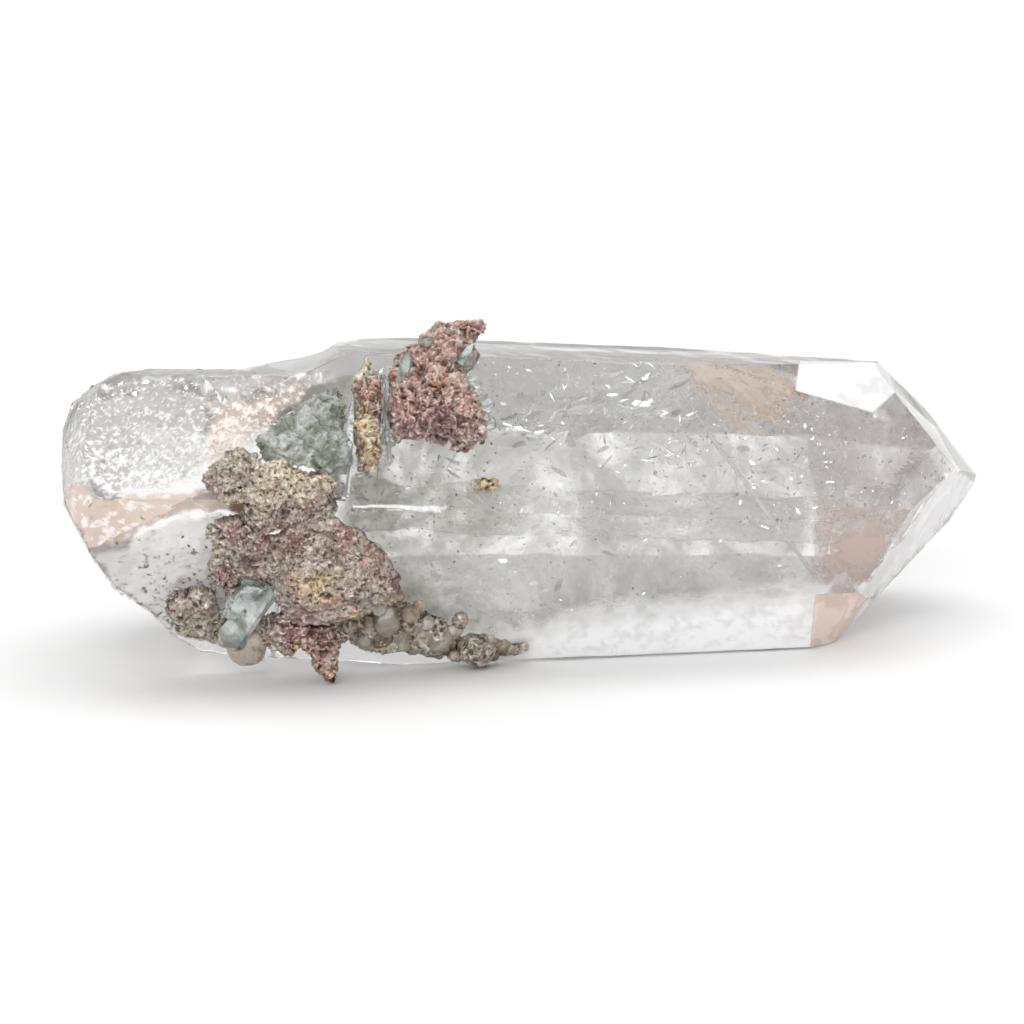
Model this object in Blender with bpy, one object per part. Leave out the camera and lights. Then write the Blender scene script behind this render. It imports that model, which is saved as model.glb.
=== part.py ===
"""Quartz crystal with mineral crusts, lying on its lower back edge.

Lengths below are in millimetres and become metres when a mesh is made.
X runs along the crystal towards its point, Y goes away from the viewer and Z is up.
The crystal is worked out in its own growth frame; at the end everything moves
together so that the middle of its footprint is the origin and the floor is z = 0.
"""
import itertools
import math

import bmesh
import bpy
from mathutils import Matrix, Vector, noise

MM = 0.001

# The crystal's long axis falls slightly towards the point, and its middle is this high.
AXIS_PITCH_DEG = 2.37
AXIS_HEIGHT = 16.58
# The floor is this high in the growth frame: the lower back edge is worn flat there.
FLOOR_HEIGHT = 0.45
# Clear space between two neighbouring minerals.
CLEARANCE = 0.3

# One flat face each: angle round the axis (degrees), lean towards the point (degrees),
# distance from the axis point (mm).
PRISM_FACES = {
    "upper_front": (146.0, 1.93, 16.76),
    "lower_front": (206.0, -0.27, 16.04),
    "under": (266.0, 2.18, 16.47),
    "lower_back": (326.0, 1.95, 16.08),
    "upper_back": (26.0, 2.37, 16.08),
    "top": (86.0, 1.59, 16.16),
}
POINT_FACES = {
    "front_bevel": (117.8, 10.8, 21.85),
    "rear_bevel": (56.5, 12.0, 21.61),
    "crown_front": (147.4, 30.5, 30.02),
    "crown_top": (111.0, 46.4, 39.71),
    "crown_lower_front": (204.8, 31.3, 30.61),
    "crown_low": (218.7, 46.7, 36.88),
    "crown_under": (258.4, 37.1, 34.57),
    "crown_back": (31.7, 38.6, 40.11),
    "crown_lower_back": (325.5, 36.4, 38.76),
}
# How far the old, etched base stands back from each prism face.
BASE_SETBACK = {"upper_front": 0.4, "lower_front": 0.3, "under": 0.15, "lower_back": 0.8, "upper_back": 1.2, "top": 2.6}
# Below the ledge the base stands back further at the front.
LOBE_SETBACK = 1.7
# Broken end of the base: outward direction and a point (mm) of each flat.
BASE_ENDS = {
    "left_end": ((-1.0, 0.0, 0.03), (-48.3, 0.0, 23.0)),
    "upper_left": ((-0.93, 0.0, 0.36), (-46.5, 0.0, 29.5)),
    "lower_left": ((-0.9, 0.0, -0.44), (-46.2, 0.0, 14.3)),
    "bottom_left": ((-0.67, 0.0, -0.74), (-41.5, 0.0, 8.2)),
    "front_left": ((-0.8, -0.55, 0.2), (-47.6, -16.5, 25.5)),
    "back_left": ((-0.75, 0.65, 0.0), (-45.0, 12.0, 18.0)),
}
BASE_RIGHT_X = -16.0
LEDGE = ((0.44, -0.2, -0.88), (-44.4, -17.1, 17.4))
# The clear prism starts behind the crusts and rises from the base by a slope.
PRISM_ROOT = ((-1.0, 0.0, 0.0), (-27.0, 0.0, 17.0))
SHOULDER = ((-0.33, 0.03, 0.94), (-18.6, 0.0, 34.4))


def axis_frame():
    """Turn from the crystal's own axes to the upright world axes."""
    return Matrix.Rotation(math.radians(AXIS_PITCH_DEG), 3, "Y")


def face_plane(angle_deg, lean_deg, distance):
    """Outward direction and height (mm) of a face given round the crystal's axis."""
    angle, lean = math.radians(angle_deg), math.radians(lean_deg)
    own = Vector((math.sin(lean), math.cos(lean) * math.cos(angle), math.cos(lean) * math.sin(angle)))
    normal = axis_frame() @ own
    return normal, distance + normal.z * AXIS_HEIGHT


def point_plane(direction, point):
    normal = Vector(direction).normalized()
    return normal, normal.dot(Vector(point))


def convex_body(planes, grow=0.0):
    """The solid that lies inside every plane, from the corners where three planes meet."""
    corners = []
    for (n1, h1), (n2, h2), (n3, h3) in itertools.combinations(planes, 3):
        rows = Matrix((n1, n2, n3))
        if abs(rows.determinant()) < 1e-3:
            continue
        corner = rows.inverted() @ Vector((h1 + grow, h2 + grow, h3 + grow))
        inside = all(n.dot(corner) <= h + grow + 1e-4 for n, h in planes)
        if inside and all((corner - other).length > 0.05 for other in corners):
            corners.append(corner)
    return hull(corners)


def face_outwards(bm):
    bmesh.ops.recalc_face_normals(bm, faces=bm.faces[:])
    if bm.calc_volume(signed=True) < 0:
        bmesh.ops.reverse_faces(bm, faces=bm.faces[:])
    return bm


def crystal_bodies(grow=0.0):
    """The three convex solids that make up the quartz: the prism, the base and its lower lobe."""
    prism = [face_plane(*f) for f in PRISM_FACES.values()] + [face_plane(*f) for f in POINT_FACES.values()]
    prism += [point_plane(*PRISM_ROOT), point_plane(*SHOULDER)]
    ends = [point_plane(*e) for e in BASE_ENDS.values()]
    ends.append(point_plane((1.0, 0.0, 0.0), (BASE_RIGHT_X, 0.0, 0.0)))
    upper, lobe = [], []
    for name, (angle, lean, distance) in PRISM_FACES.items():
        back = BASE_SETBACK[name]
        upper.append(face_plane(angle, lean, distance - back))
        inner = back + (LOBE_SETBACK if name.endswith("front") else 0.3)
        lobe.append(face_plane(angle, lean, distance - inner))
    bodies = [prism, upper + ends + [point_plane(*LEDGE)], lobe + ends]
    return [convex_body(planes, grow) for planes in bodies]


def make_object(name, bm, material=None):
    mesh = bpy.data.meshes.new(name)
    bm.to_mesh(mesh)
    bm.free()
    obj = bpy.data.objects.new(name, mesh)
    bpy.context.scene.collection.objects.link(obj)
    if material:
        mesh.materials.append(material)
    return obj


def baked_boolean(obj, other, operation):
    """Applies one exact boolean to the object's mesh and removes the other solid."""
    mod = obj.modifiers.new(operation.title(), "BOOLEAN")
    mod.operation = operation
    mod.solver = "EXACT"
    mod.object = other
    graph = bpy.context.evaluated_depsgraph_get()
    graph.update()
    fresh = bpy.data.meshes.new_from_object(obj.evaluated_get(graph))
    old = obj.data
    obj.modifiers.clear()
    obj.data = fresh
    fresh.name = obj.name
    bpy.data.meshes.remove(old)
    old = other.data
    bpy.data.objects.remove(other)
    bpy.data.meshes.remove(old)


def keep_largest_island(obj):
    """Drops the loose crumbs that a cut leaves behind."""
    bm = bmesh.new()
    bm.from_mesh(obj.data)
    bmesh.ops.remove_doubles(bm, verts=bm.verts[:], dist=0.002 * MM)
    bmesh.ops.dissolve_degenerate(bm, edges=bm.edges[:], dist=0.01 * MM)
    seen, islands = set(), []
    for start in bm.verts:
        if start in seen:
            continue
        island, queue = [], [start]
        seen.add(start)
        while queue:
            vert = queue.pop()
            island.append(vert)
            for edge in vert.link_edges:
                far = edge.other_vert(vert)
                if far not in seen:
                    seen.add(far)
                    queue.append(far)
        islands.append(island)
    islands.sort(key=len, reverse=True)
    loose = [v for island in islands[1:] for v in island]
    bmesh.ops.delete(bm, geom=loose, context="VERTS")
    bmesh.ops.triangulate(bm, faces=[f for f in bm.faces if len(f.verts) > 4])
    face_outwards(bm).to_mesh(obj.data)
    bm.free()


class FaceFrame:
    """Places things on a prism face by x, distance from the front ridge and height above the face."""

    def __init__(self, name, upward):
        self.normal, self.height = face_plane(*PRISM_FACES[name])
        across = self.normal.cross(Vector((1.0, 0.0, 0.0))).normalized()
        self.across = across if (across.z > 0) == upward else -across
        self.along = self.across.cross(self.normal).normalized()
        if self.along.x < 0:
            self.along = -self.along

    def ridge(self, x):
        """Point of the front ridge, where the two front faces meet, at this x."""
        n1, h1 = face_plane(*PRISM_FACES["upper_front"])
        n2, h2 = face_plane(*PRISM_FACES["lower_front"])
        rows = Matrix((n1, n2, (1.0, 0.0, 0.0)))
        return rows.inverted() @ Vector((h1, h2, x))

    def at(self, x, away, out):
        return self.ridge(x) + self.across * away + self.normal * out

    def turn(self):
        return Matrix((self.along, self.across, self.normal)).transposed()


UPPER = FaceFrame("upper_front", True)
LOWER = FaceFrame("lower_front", False)


def lump(frame, x, away, out, radii, seed, rough=0.16, grow=0.0, detail=2):
    """A rough rounded grain of mineral; radii go along the crystal, across the face and outwards."""
    bm = bmesh.new()
    bmesh.ops.create_icosphere(bm, subdivisions=detail + 1, radius=1.0)
    centre, turn = frame.at(x, away, out), frame.turn()
    for vert in bm.verts:
        ray = vert.co.normalized()
        coarse = noise.noise(ray * 1.7 + Vector((seed, 0.0, 0.0)))
        fine = noise.noise(ray * 4.3 + Vector((0.0, seed, 0.0)))
        swell = 1.0 + rough * (1.5 * coarse + 0.9 * fine)
        local = Vector((ray.x * radii[0], ray.y * radii[1], ray.z * radii[2])) * swell
        vert.co = (centre + turn @ (local + local.normalized() * grow)) * MM
    return face_outwards(bm)


def hull(points, grow=0.0):
    """The convex solid round a few points (mm)."""
    bm = bmesh.new()
    middle = sum(points, Vector()) / len(points)
    for point in points:
        bm.verts.new((point + (point - middle).normalized() * grow) * MM)
    result = bmesh.ops.convex_hull(bm, input=bm.verts[:])
    spare = [g for g in result["geom_interior"] if isinstance(g, bmesh.types.BMVert)]
    if spare:
        bmesh.ops.delete(bm, geom=spare, context="VERTS")
    return face_outwards(bm)


def shard(frame, start, end, width, thickness, grow=0.0, sides=6, skew=0.35):
    """A many-sided crystal shard between two places (x, away, out) on a face, cut slantwise at both ends."""
    first, last = frame.at(*start), frame.at(*end)
    along = (last - first).normalized()
    side = along.cross(frame.normal).normalized()
    lift = side.cross(along)
    points = []
    for k in range(sides):
        turn = 2 * math.pi * (k + 0.5) / sides
        offset = side * (math.cos(turn) * (0.5 * width + grow)) + lift * (math.sin(turn) * (0.5 * thickness + grow))
        slant = along * (skew * width * math.cos(turn))
        points.append(first + offset - along * grow + slant)
        points.append(last + offset * 0.85 + along * grow + slant)
    return hull(points)


def copper_pieces(grow):
    """Pink coppery cluster high on the front, with a horn that stands above the top edge."""
    return [
        lump(UPPER, -10.2, 11.6, 1.2, (4.2, 4.3, 3.0), 3.1, 0.2, grow),
        lump(UPPER, -7.3, 9.0, 1.4, (2.4, 2.4, 3.0), 5.7, 0.22, grow),
        lump(UPPER, -13.2, 11.7, 0.9, (2.0, 3.1, 2.2), 8.9, 0.2, grow),
        lump(UPPER, -10.0, 16.0, 0.8, (3.0, 2.9, 2.6), 11.9, 0.2, grow),
        lump(UPPER, -8.3, 18.8, 0.9, (2.4, 1.8, 2.0), 15.4, 0.22, grow),
        lump(UPPER, -6.1, 20.1, 1.1, (2.3, 1.0, 1.2), 17.8, 0.2, grow, 1),
    ]


def gold_strip_pieces(grow):
    """Narrow rusty and golden band left of the coppery cluster."""
    return [
        lump(UPPER, -17.0, 12.6, 0.5, (1.5, 3.2, 1.5), 21.3, 0.18, grow),
        lump(UPPER, -17.7, 7.4, 0.6, (1.5, 3.6, 1.6), 24.6, 0.18, grow),
    ]


def wedge_pieces(grow):
    """Green chlorite-filled wedge between the base and the prism."""
    base = [(-20.4, 13.6), (-19.6, 12.6), (-20.2, 4.0), (-21.8, 2.6), (-27.2, 4.6), (-29.8, 6.4), (-27.6, 9.2), (-23.6, 12.0)]
    top = [(-20.6, 11.8), (-20.6, 5.4), (-25.4, 5.8), (-26.4, 7.8), (-22.6, 11.0)]
    points = [UPPER.at(x, away, 0.1) for x, away in base] + [UPPER.at(x, away, 2.4) for x, away in top]
    return [hull(points, grow)]


def golden_crust_pieces(grow):
    """Crumpled golden and olive crust over the front ridge."""
    return [
        lump(UPPER, -33.0, 2.2, 0.7, (2.4, 2.3, 1.9), 31.4, 0.2, grow),
        lump(UPPER, -28.9, 1.7, 1.2, (3.7, 2.5, 2.5), 34.8, 0.22, grow),
        lump(UPPER, -24.2, 1.4, 1.0, (3.1, 2.1, 2.2), 37.5, 0.22, grow),
    ]


def wine_dome_pieces(grow):
    """Large wine-coloured dome on the lower front."""
    return [
        lump(LOWER, -22.6, 8.6, 0.8, (5.9, 5.2, 4.6), 41.2, 0.12, grow, 3),
        lump(LOWER, -18.0, 9.9, 0.6, (3.2, 3.4, 3.0), 44.9, 0.16, grow),
        lump(LOWER, -23.4, 5.0, 0.6, (3.8, 2.4, 3.1), 47.3, 0.16, grow),
    ]


def wine_bridge_pieces(grow):
    """Wine and pink crust that reaches from the dome to the base."""
    return [
        lump(LOWER, -31.4, 4.2, -0.2, (3.1, 2.3, 2.3), 51.6, 0.2, grow),
        lump(LOWER, -33.2, 8.4, -0.6, (1.6, 3.4, 2.2), 54.1, 0.2, grow),
    ]


def green_shard_pieces(grow):
    """Grey-green slanting crystal in front of the base."""
    return [shard(LOWER, (-28.9, 9.2, 0.9), (-31.6, 13.6, 1.2), 3.8, 3.2, grow)]


def tan_lens_pieces(grow):
    """Smooth tan grain below the green crystal."""
    return [lump(LOWER, -31.6, 16.9, 0.6, (2.2, 1.6, 2.0), 61.7, 0.05, grow)]


def spike_crust_pieces(grow):
    """Pink crust under the dome, with the spike that touches the floor."""
    root = [(-25.0, 15.0, 0.8), (-20.4, 15.0, 0.8), (-24.4, 15.4, 4.4), (-20.8, 15.4, 4.4)]
    tips = [Vector((-22.4, -16.0, 0.2)), Vector((-21.2, -16.0, 0.2)), Vector((-21.8, -15.2, 0.2))]
    points = [LOWER.at(*place) for place in root] + tips
    return [
        lump(LOWER, -26.2, 15.9, 1.0, (2.8, 2.0, 2.6), 64.2, 0.18, grow),
        hull(points, grow),
        lump(LOWER, -22.6, 15.4, 1.6, (3.2, 1.5, 2.6), 67.9, 0.18, grow),
    ]


def grain_crust_pieces(grow):
    """Brownish glassy crust along the lower front edge with round grains on it."""
    return [
        lump(LOWER, -15.8, 16.5, 0.4, (3.0, 2.0, 2.0), 71.5, 0.16, grow),
        lump(LOWER, -11.3, 16.8, 0.4, (3.2, 2.0, 1.8), 74.4, 0.16, grow),
        lump(LOWER, -13.3, 14.5, 0.5, (1.6, 1.5, 1.5), 76.4, 0.07, grow, 1),
        lump(LOWER, -10.1, 15.6, 1.0, (1.5, 1.4, 1.5), 78.9, 0.07, grow, 1),
    ]


def skirt_pieces(grow):
    """Green-brown druse at the foot of the base."""
    return [
        lump(LOWER, -36.3, 14.2, -1.5, (2.6, 2.4, 1.8), 81.3, 0.18, grow),
        lump(LOWER, -34.9, 16.8, -1.6, (2.2, 1.8, 2.0), 84.8, 0.18, grow),
    ]


def round_lump_pieces(grow):
    """Round brown grain that stands on the floor."""
    return [lump(LOWER, -5.5, 17.6, 1.0, (2.3, 1.9, 2.2), 87.2, 0.08, grow)]


def upper_bead_pieces(grow):
    return [lump(UPPER, -5.7, 2.8, 0.5, (1.6, 0.9, 0.9), 91.6, 0.14, grow, 1)]


def lower_bead_pieces(grow):
    return [lump(LOWER, -7.4, 14.2, 0.5, (0.9, 0.9, 0.9), 93.1, 0.1, grow, 1)]


def floor_grain_pieces(grow):
    return [lump(LOWER, -1.0, 17.9, 0.3, (1.6, 0.8, 0.9), 95.9, 0.14, grow, 1)]


def right_blade_pieces(grow):
    """Clear blade between the golden band and the coppery cluster."""
    return [shard(UPPER, (-15.6, 14.4, 0.5), (-15.8, 4.6, 0.6), 1.1, 2.4, grow, 6, 0.2)]


# Node name, the shapes it is made of, base colour, roughness, metallic, transmission.
CRUSTS = [
    ("copper_crust", copper_pieces, (0.46, 0.22, 0.19), 0.5, 0.35, 0.0),
    ("gold_strip", gold_strip_pieces, (0.5, 0.33, 0.13), 0.45, 0.5, 0.0),
    ("chlorite_wedge", wedge_pieces, (0.3, 0.37, 0.3), 0.25, 0.0, 0.3),
    ("golden_crust", golden_crust_pieces, (0.48, 0.38, 0.18), 0.4, 0.6, 0.0),
    ("wine_dome", wine_dome_pieces, (0.25, 0.14, 0.13), 0.5, 0.3, 0.0),
    ("wine_bridge", wine_bridge_pieces, (0.3, 0.14, 0.15), 0.5, 0.3, 0.0),
    ("green_shard", green_shard_pieces, (0.25, 0.33, 0.28), 0.3, 0.0, 0.2),
    ("tan_lens", tan_lens_pieces, (0.42, 0.38, 0.27), 0.25, 0.0, 0.3),
    ("spike_crust", spike_crust_pieces, (0.34, 0.2, 0.16), 0.5, 0.3, 0.0),
    ("grain_crust", grain_crust_pieces, (0.34, 0.29, 0.22), 0.3, 0.0, 0.3),
    ("skirt_druse", skirt_pieces, (0.28, 0.27, 0.2), 0.5, 0.0, 0.0),
    ("round_grain", round_lump_pieces, (0.26, 0.21, 0.15), 0.35, 0.0, 0.2),
    ("upper_bead", upper_bead_pieces, (0.25, 0.19, 0.1), 0.4, 0.2, 0.0),
    ("lower_bead", lower_bead_pieces, (0.24, 0.18, 0.12), 0.4, 0.1, 0.0),
    ("floor_grain", floor_grain_pieces, (0.28, 0.25, 0.15), 0.45, 0.0, 0.0),
    ("clear_blade", right_blade_pieces, (0.9, 0.92, 0.9), 0.08, 0.0, 0.9),
]


def principled(name, colour, roughness, metallic, transmission):
    material = bpy.data.materials.new(name)
    material.use_nodes = True
    shader = material.node_tree.nodes["Principled BSDF"]
    shader.inputs["Base Color"].default_value = (*colour, 1.0)
    shader.inputs["Roughness"].default_value = roughness
    shader.inputs["Metallic"].default_value = metallic
    shader.inputs["Transmission Weight"].default_value = transmission
    shader.inputs["IOR"].default_value = 1.54
    return material


def united(name, bodies, material=None):
    obj = make_object(name, bodies[0], material)
    for k, body in enumerate(bodies[1:]):
        baked_boolean(obj, make_object(f"{name}_cutter_{k}", body), "UNION")
    return obj


def build_quartz():
    material = principled("quartz", (0.93, 0.92, 0.91), 0.03, 0.0, 1.0)
    obj = united("quartz_crystal", crystal_bodies(), material)
    baked_boolean(obj, make_object("floor_cutter", below_floor()), "DIFFERENCE")
    keep_largest_island(obj)
    return obj


def below_floor():
    bm = bmesh.new()
    bmesh.ops.create_cube(bm, size=0.3)
    bmesh.ops.translate(bm, verts=bm.verts[:], vec=(0.0, 0.0, FLOOR_HEIGHT * MM - 0.15))
    return bm


def build_crusts():
    """Each crust stands clear of the quartz and of the crusts made before it."""
    made, done = [], []
    for name, pieces, colour, rough, metal, glassy in CRUSTS:
        obj = united(name, pieces(0.0), principled(name, colour, rough, metal, glassy))
        for k, body in enumerate(crystal_bodies(CLEARANCE)):
            baked_boolean(obj, make_object(f"{name}_quartz_{k}", body), "DIFFERENCE")
        for earlier in done:
            for k, body in enumerate(earlier(CLEARANCE)):
                baked_boolean(obj, make_object(f"{name}_neighbour_{k}", body), "DIFFERENCE")
        baked_boolean(obj, make_object(f"{name}_floor", below_floor()), "DIFFERENCE")
        keep_largest_island(obj)
        made.append(obj)
        done.append(pieces)
    return made


def centre_on_floor(objects):
    """Moves all meshes together: footprint's middle to the origin, lowest point to z = 0."""
    corners = [v.co.copy() for obj in objects for v in obj.data.vertices]
    low = Vector(min(c[k] for c in corners) for k in range(3))
    high = Vector(max(c[k] for c in corners) for k in range(3))
    shift = Matrix.Translation((-0.5 * (low.x + high.x), -0.5 * (low.y + high.y), -low.z))
    for obj in objects:
        obj.data.transform(shift)
        obj.data.update()
    print("shift in mm", [round(v / MM, 3) for v in shift.to_translation()])


def main():
    for obj in list(bpy.data.objects):
        bpy.data.objects.remove(obj)
    objects = [build_quartz()] + build_crusts()
    centre_on_floor(objects)
    for obj in objects:
        print(obj.name, len(obj.data.polygons), [round(d / MM, 1) for d in obj.dimensions])


main()
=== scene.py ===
# %% [markdown]
# # A quartz crystal with mineral crusts
#
# The object is one clear six-sided quartz crystal, about 105 mm long. It lies on its side. Its left end
# is etched and frosty, its right end is a pointed crown, and crusts of copper-coloured, golden, wine-red
# and green minerals sit on its front. Each step below makes one part of it.

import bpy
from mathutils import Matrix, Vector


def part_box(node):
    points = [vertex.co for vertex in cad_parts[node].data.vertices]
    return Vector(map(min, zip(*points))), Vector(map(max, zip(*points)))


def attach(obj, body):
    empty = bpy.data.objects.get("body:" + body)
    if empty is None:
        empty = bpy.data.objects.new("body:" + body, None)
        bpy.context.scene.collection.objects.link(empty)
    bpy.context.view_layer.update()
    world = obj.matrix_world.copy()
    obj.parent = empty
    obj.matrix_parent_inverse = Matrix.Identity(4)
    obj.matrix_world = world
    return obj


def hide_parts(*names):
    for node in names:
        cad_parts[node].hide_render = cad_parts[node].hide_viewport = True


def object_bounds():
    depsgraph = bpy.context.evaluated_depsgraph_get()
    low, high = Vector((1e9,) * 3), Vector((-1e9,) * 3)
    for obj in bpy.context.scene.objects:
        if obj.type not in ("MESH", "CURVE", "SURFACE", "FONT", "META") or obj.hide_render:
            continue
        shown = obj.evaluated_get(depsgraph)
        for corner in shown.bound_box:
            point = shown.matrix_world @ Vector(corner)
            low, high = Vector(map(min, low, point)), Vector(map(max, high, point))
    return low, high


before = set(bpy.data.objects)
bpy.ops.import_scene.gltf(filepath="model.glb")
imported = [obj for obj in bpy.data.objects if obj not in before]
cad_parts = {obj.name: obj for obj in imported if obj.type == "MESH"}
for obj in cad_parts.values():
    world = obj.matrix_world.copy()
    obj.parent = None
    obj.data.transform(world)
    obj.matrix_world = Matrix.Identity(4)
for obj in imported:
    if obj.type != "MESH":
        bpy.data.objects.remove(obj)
cad_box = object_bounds()
print("CAD nodes:", sorted(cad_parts))

import bmesh
import bpy
import numpy as np
from mathutils import Vector

MM = 0.001

# %% [markdown]
# ## The eye
#
# The photograph was taken with a long lens, a little from above and a little from the left. The camera
# comes first, because the things inside the crystal are placed along its lines of sight, bent by the
# glass as light really is.

# %% Camera
FOCUS = np.array((-2.94, 1.122, 14.35))
BACKWARDS = np.array((-0.2034, -0.9568, 0.2079))
BACKWARDS /= np.linalg.norm(BACKWARDS)
EYE = FOCUS + 465.0 * BACKWARDS
LENS, SENSOR, FRAME_SIDE = 150.0, 36.0, 1024

camera_data = bpy.data.cameras.new("camera")
camera_data.lens, camera_data.sensor_width = LENS, SENSOR
camera_data.clip_start, camera_data.clip_end = 0.01, 20.0
camera = bpy.data.objects.new("camera", camera_data)
bpy.context.scene.collection.objects.link(camera)
camera.location = Vector(EYE * MM)
camera.rotation_euler = Vector(-BACKWARDS).to_track_quat("-Z", "Y").to_euler()
bpy.context.scene.camera = camera

# %% [markdown]
# ## Light, air and floor
#
# A pale floor with soft light from above gives the white surroundings and the soft shadow under the
# crystal. The world is white above and grey near the horizon, so that the clear quartz has something
# darker to bend into its edges. Without that grey, glass in white surroundings can't be seen.

# %% World
world = bpy.data.worlds.new("studio")
bpy.context.scene.world = world
world.use_nodes = True
tree = world.node_tree
direction = tree.nodes.new("ShaderNodeTexCoord")
split = tree.nodes.new("ShaderNodeSeparateXYZ")
ramp = tree.nodes.new("ShaderNodeValToRGB")
tree.links.new(direction.outputs["Generated"], split.inputs[0])
tree.links.new(split.outputs["Z"], ramp.inputs[0])
tree.links.new(ramp.outputs[0], tree.nodes["Background"].inputs["Color"])
ramp.color_ramp.elements[0].position, ramp.color_ramp.elements[0].color = 0.0, (0.74, 0.73, 0.725, 1)
ramp.color_ramp.elements[1].position, ramp.color_ramp.elements[1].color = 0.75, (1.0, 1.0, 1.0, 1)
middle = ramp.color_ramp.elements.new(0.25)
middle.color = (0.86, 0.855, 0.85, 1)
tree.nodes["Background"].inputs["Strength"].default_value = 0.69

# Light goes through the crystal and bounces inside it many times, so its paths may be long.
cycles = bpy.context.scene.cycles
cycles.max_bounces = cycles.glossy_bounces = cycles.transmission_bounces = 9
cycles.diffuse_bounces, cycles.transparent_max_bounces = 4, 24
bpy.context.scene.view_settings.view_transform = "Standard"


# %% Soft lights
def soft_box(name, place, towards, size, watts, colour=(1, 1, 1)):
    """A rectangular lamp at a place in mm that faces another place."""
    data = bpy.data.lights.new(name, "AREA")
    data.shape, data.size, data.size_y = "RECTANGLE", size[0] * MM, size[1] * MM
    data.energy, data.color = watts, colour
    lamp = bpy.data.objects.new(name, data)
    bpy.context.scene.collection.objects.link(lamp)
    lamp.location = Vector(place) * MM
    lamp.rotation_euler = (Vector(towards) - Vector(place)).to_track_quat("-Z", "Y").to_euler()
    return lamp


soft_box("overhead", (80, 240, 2240), (0, 0, 0), (2560, 1700), 23)
soft_box("back_left", (-1600, 1700, 1100), (0, 0, 15), (1000, 1000), 6)
soft_box("front_left", (-900, -2100, 1300), (0, 0, 15), (1500, 1000), 20)

# %% Floor
floor_data = bpy.data.meshes.new("floor")
SIDE = 12000 * MM
floor_data.from_pydata([(-SIDE, -SIDE, 0), (SIDE, -SIDE, 0), (SIDE, SIDE, 0), (-SIDE, SIDE, 0)], [], [(0, 1, 2, 3)])
floor = bpy.data.objects.new("floor", floor_data)
bpy.context.scene.collection.objects.link(floor)
paper = bpy.data.materials.new("white_paper")
paper.use_nodes = True
paper.node_tree.nodes["Principled BSDF"].inputs["Base Color"].default_value = (0.92, 0.92, 0.92, 1)
paper.node_tree.nodes["Principled BSDF"].inputs["Roughness"].default_value = 0.9
paper.node_tree.nodes["Principled BSDF"].inputs["Specular IOR Level"].default_value = 0.1
floor.data.materials.append(paper)

# %% [markdown]
# ## Noise made of numbers
#
# Minerals are never smooth. Every rough surface below is a plain shape plus noise: random numbers that
# sit on a lattice in space and are blended between its points. It is worked out for all the points of a
# surface at once, and it is the same on each run.


# %% Noise functions
def lattice(cells, seed):
    """One random number from 0 to 1 for each whole-number cell, by mixing the three numbers and a seed."""
    x, y, z = (cells[..., i].astype(np.int64).astype(np.uint32) for i in range(3))
    h = x * np.uint32(374761393) + y * np.uint32(668265263) + z * np.uint32(1440662683)
    h = h + np.uint32((seed * 974711 + 12345) % (2 ** 32))
    h = (h ^ (h >> np.uint32(13))) * np.uint32(1274126177)
    h = (h ^ (h >> np.uint32(16))) * np.uint32(2246822519)
    h = h ^ (h >> np.uint32(15))
    return (h & np.uint32(0xFFFFFF)).astype(np.float64) / 0xFFFFFF


def smooth_noise(points, size, seed=0):
    """Noise from -1 to 1: the lattice numbers at a cell's eight corners, blended with an eased slope."""
    p = points / size
    base = np.floor(p)
    f = p - base
    f = f * f * f * (f * (f * 6 - 15) + 10)
    total = 0.0
    for dx in (0, 1):
        for dy in (0, 1):
            for dz in (0, 1):
                corner = lattice(base + (dx, dy, dz), seed)
                weight = (f[..., 0] if dx else 1 - f[..., 0])
                weight = weight * (f[..., 1] if dy else 1 - f[..., 1])
                weight = weight * (f[..., 2] if dz else 1 - f[..., 2])
                total = total + corner * weight
    return total * 2 - 1


def layered_noise(points, size, seed=0, layers=4, keep=0.5):
    """Noise of several sizes added up: each layer is half as coarse and keep times as strong."""
    total, weight, whole = 0.0, 1.0, 0.0
    for i in range(layers):
        total = total + weight * smooth_noise(points + 7.3 * i, size / 2 ** i, seed + i)
        whole += weight
        weight *= keep
    return total / whole * 1.6


def cells(points, size, seed=0, squash=(1, 1, 1)):
    """Distances to the nearest and second nearest of points strewn one to a cell, and the nearest's number."""
    p = points / (size * np.array(squash))
    base = np.floor(p)
    first = np.full(p.shape[:-1], 9.0)
    second = first.copy()
    number = np.zeros(p.shape[:-1])
    for dx in (-1, 0, 1):
        for dy in (-1, 0, 1):
            for dz in (-1, 0, 1):
                c = base + (dx, dy, dz)
                seat = c + np.stack([lattice(c, seed + 11 * k) for k in (1, 2, 3)], -1)
                d = np.linalg.norm(p - seat, axis=-1)
                nearer = d < first
                second = np.where(nearer, first, np.minimum(second, d))
                number = np.where(nearer, lattice(c, seed + 77), number)
                first = np.where(nearer, d, first)
    return first, second, number


def eased(value, low, high):
    """0 below low, 1 above high and an S-curve between."""
    t = np.clip((value - low) / (high - low), 0, 1)
    return t * t * (3 - 2 * t)


# %% [markdown]
# ## The crystal's own planes
#
# The two long faces that look at the camera meet in a ridge. Their planes are measured on the packed
# mesh, so that crusts and inclusions are placed on the faces as they really are.


# %% Measured planes
def mesh_arrays(mesh):
    """The mesh's triangles as corner positions in mm, with their areas and unit normals."""
    mesh.calc_loop_triangles()
    co = np.empty(len(mesh.vertices) * 3)
    mesh.vertices.foreach_get("co", co)
    tri = np.empty(len(mesh.loop_triangles) * 3, np.int32)
    mesh.loop_triangles.foreach_get("vertices", tri)
    corners = co.reshape(-1, 3)[tri.reshape(-1, 3)] / MM
    cross = np.cross(corners[:, 1] - corners[:, 0], corners[:, 2] - corners[:, 0])
    length = np.linalg.norm(cross, axis=1)
    keep = length > 1e-9
    return corners[keep], length[keep] / 2, cross[keep] / length[keep, None]


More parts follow.
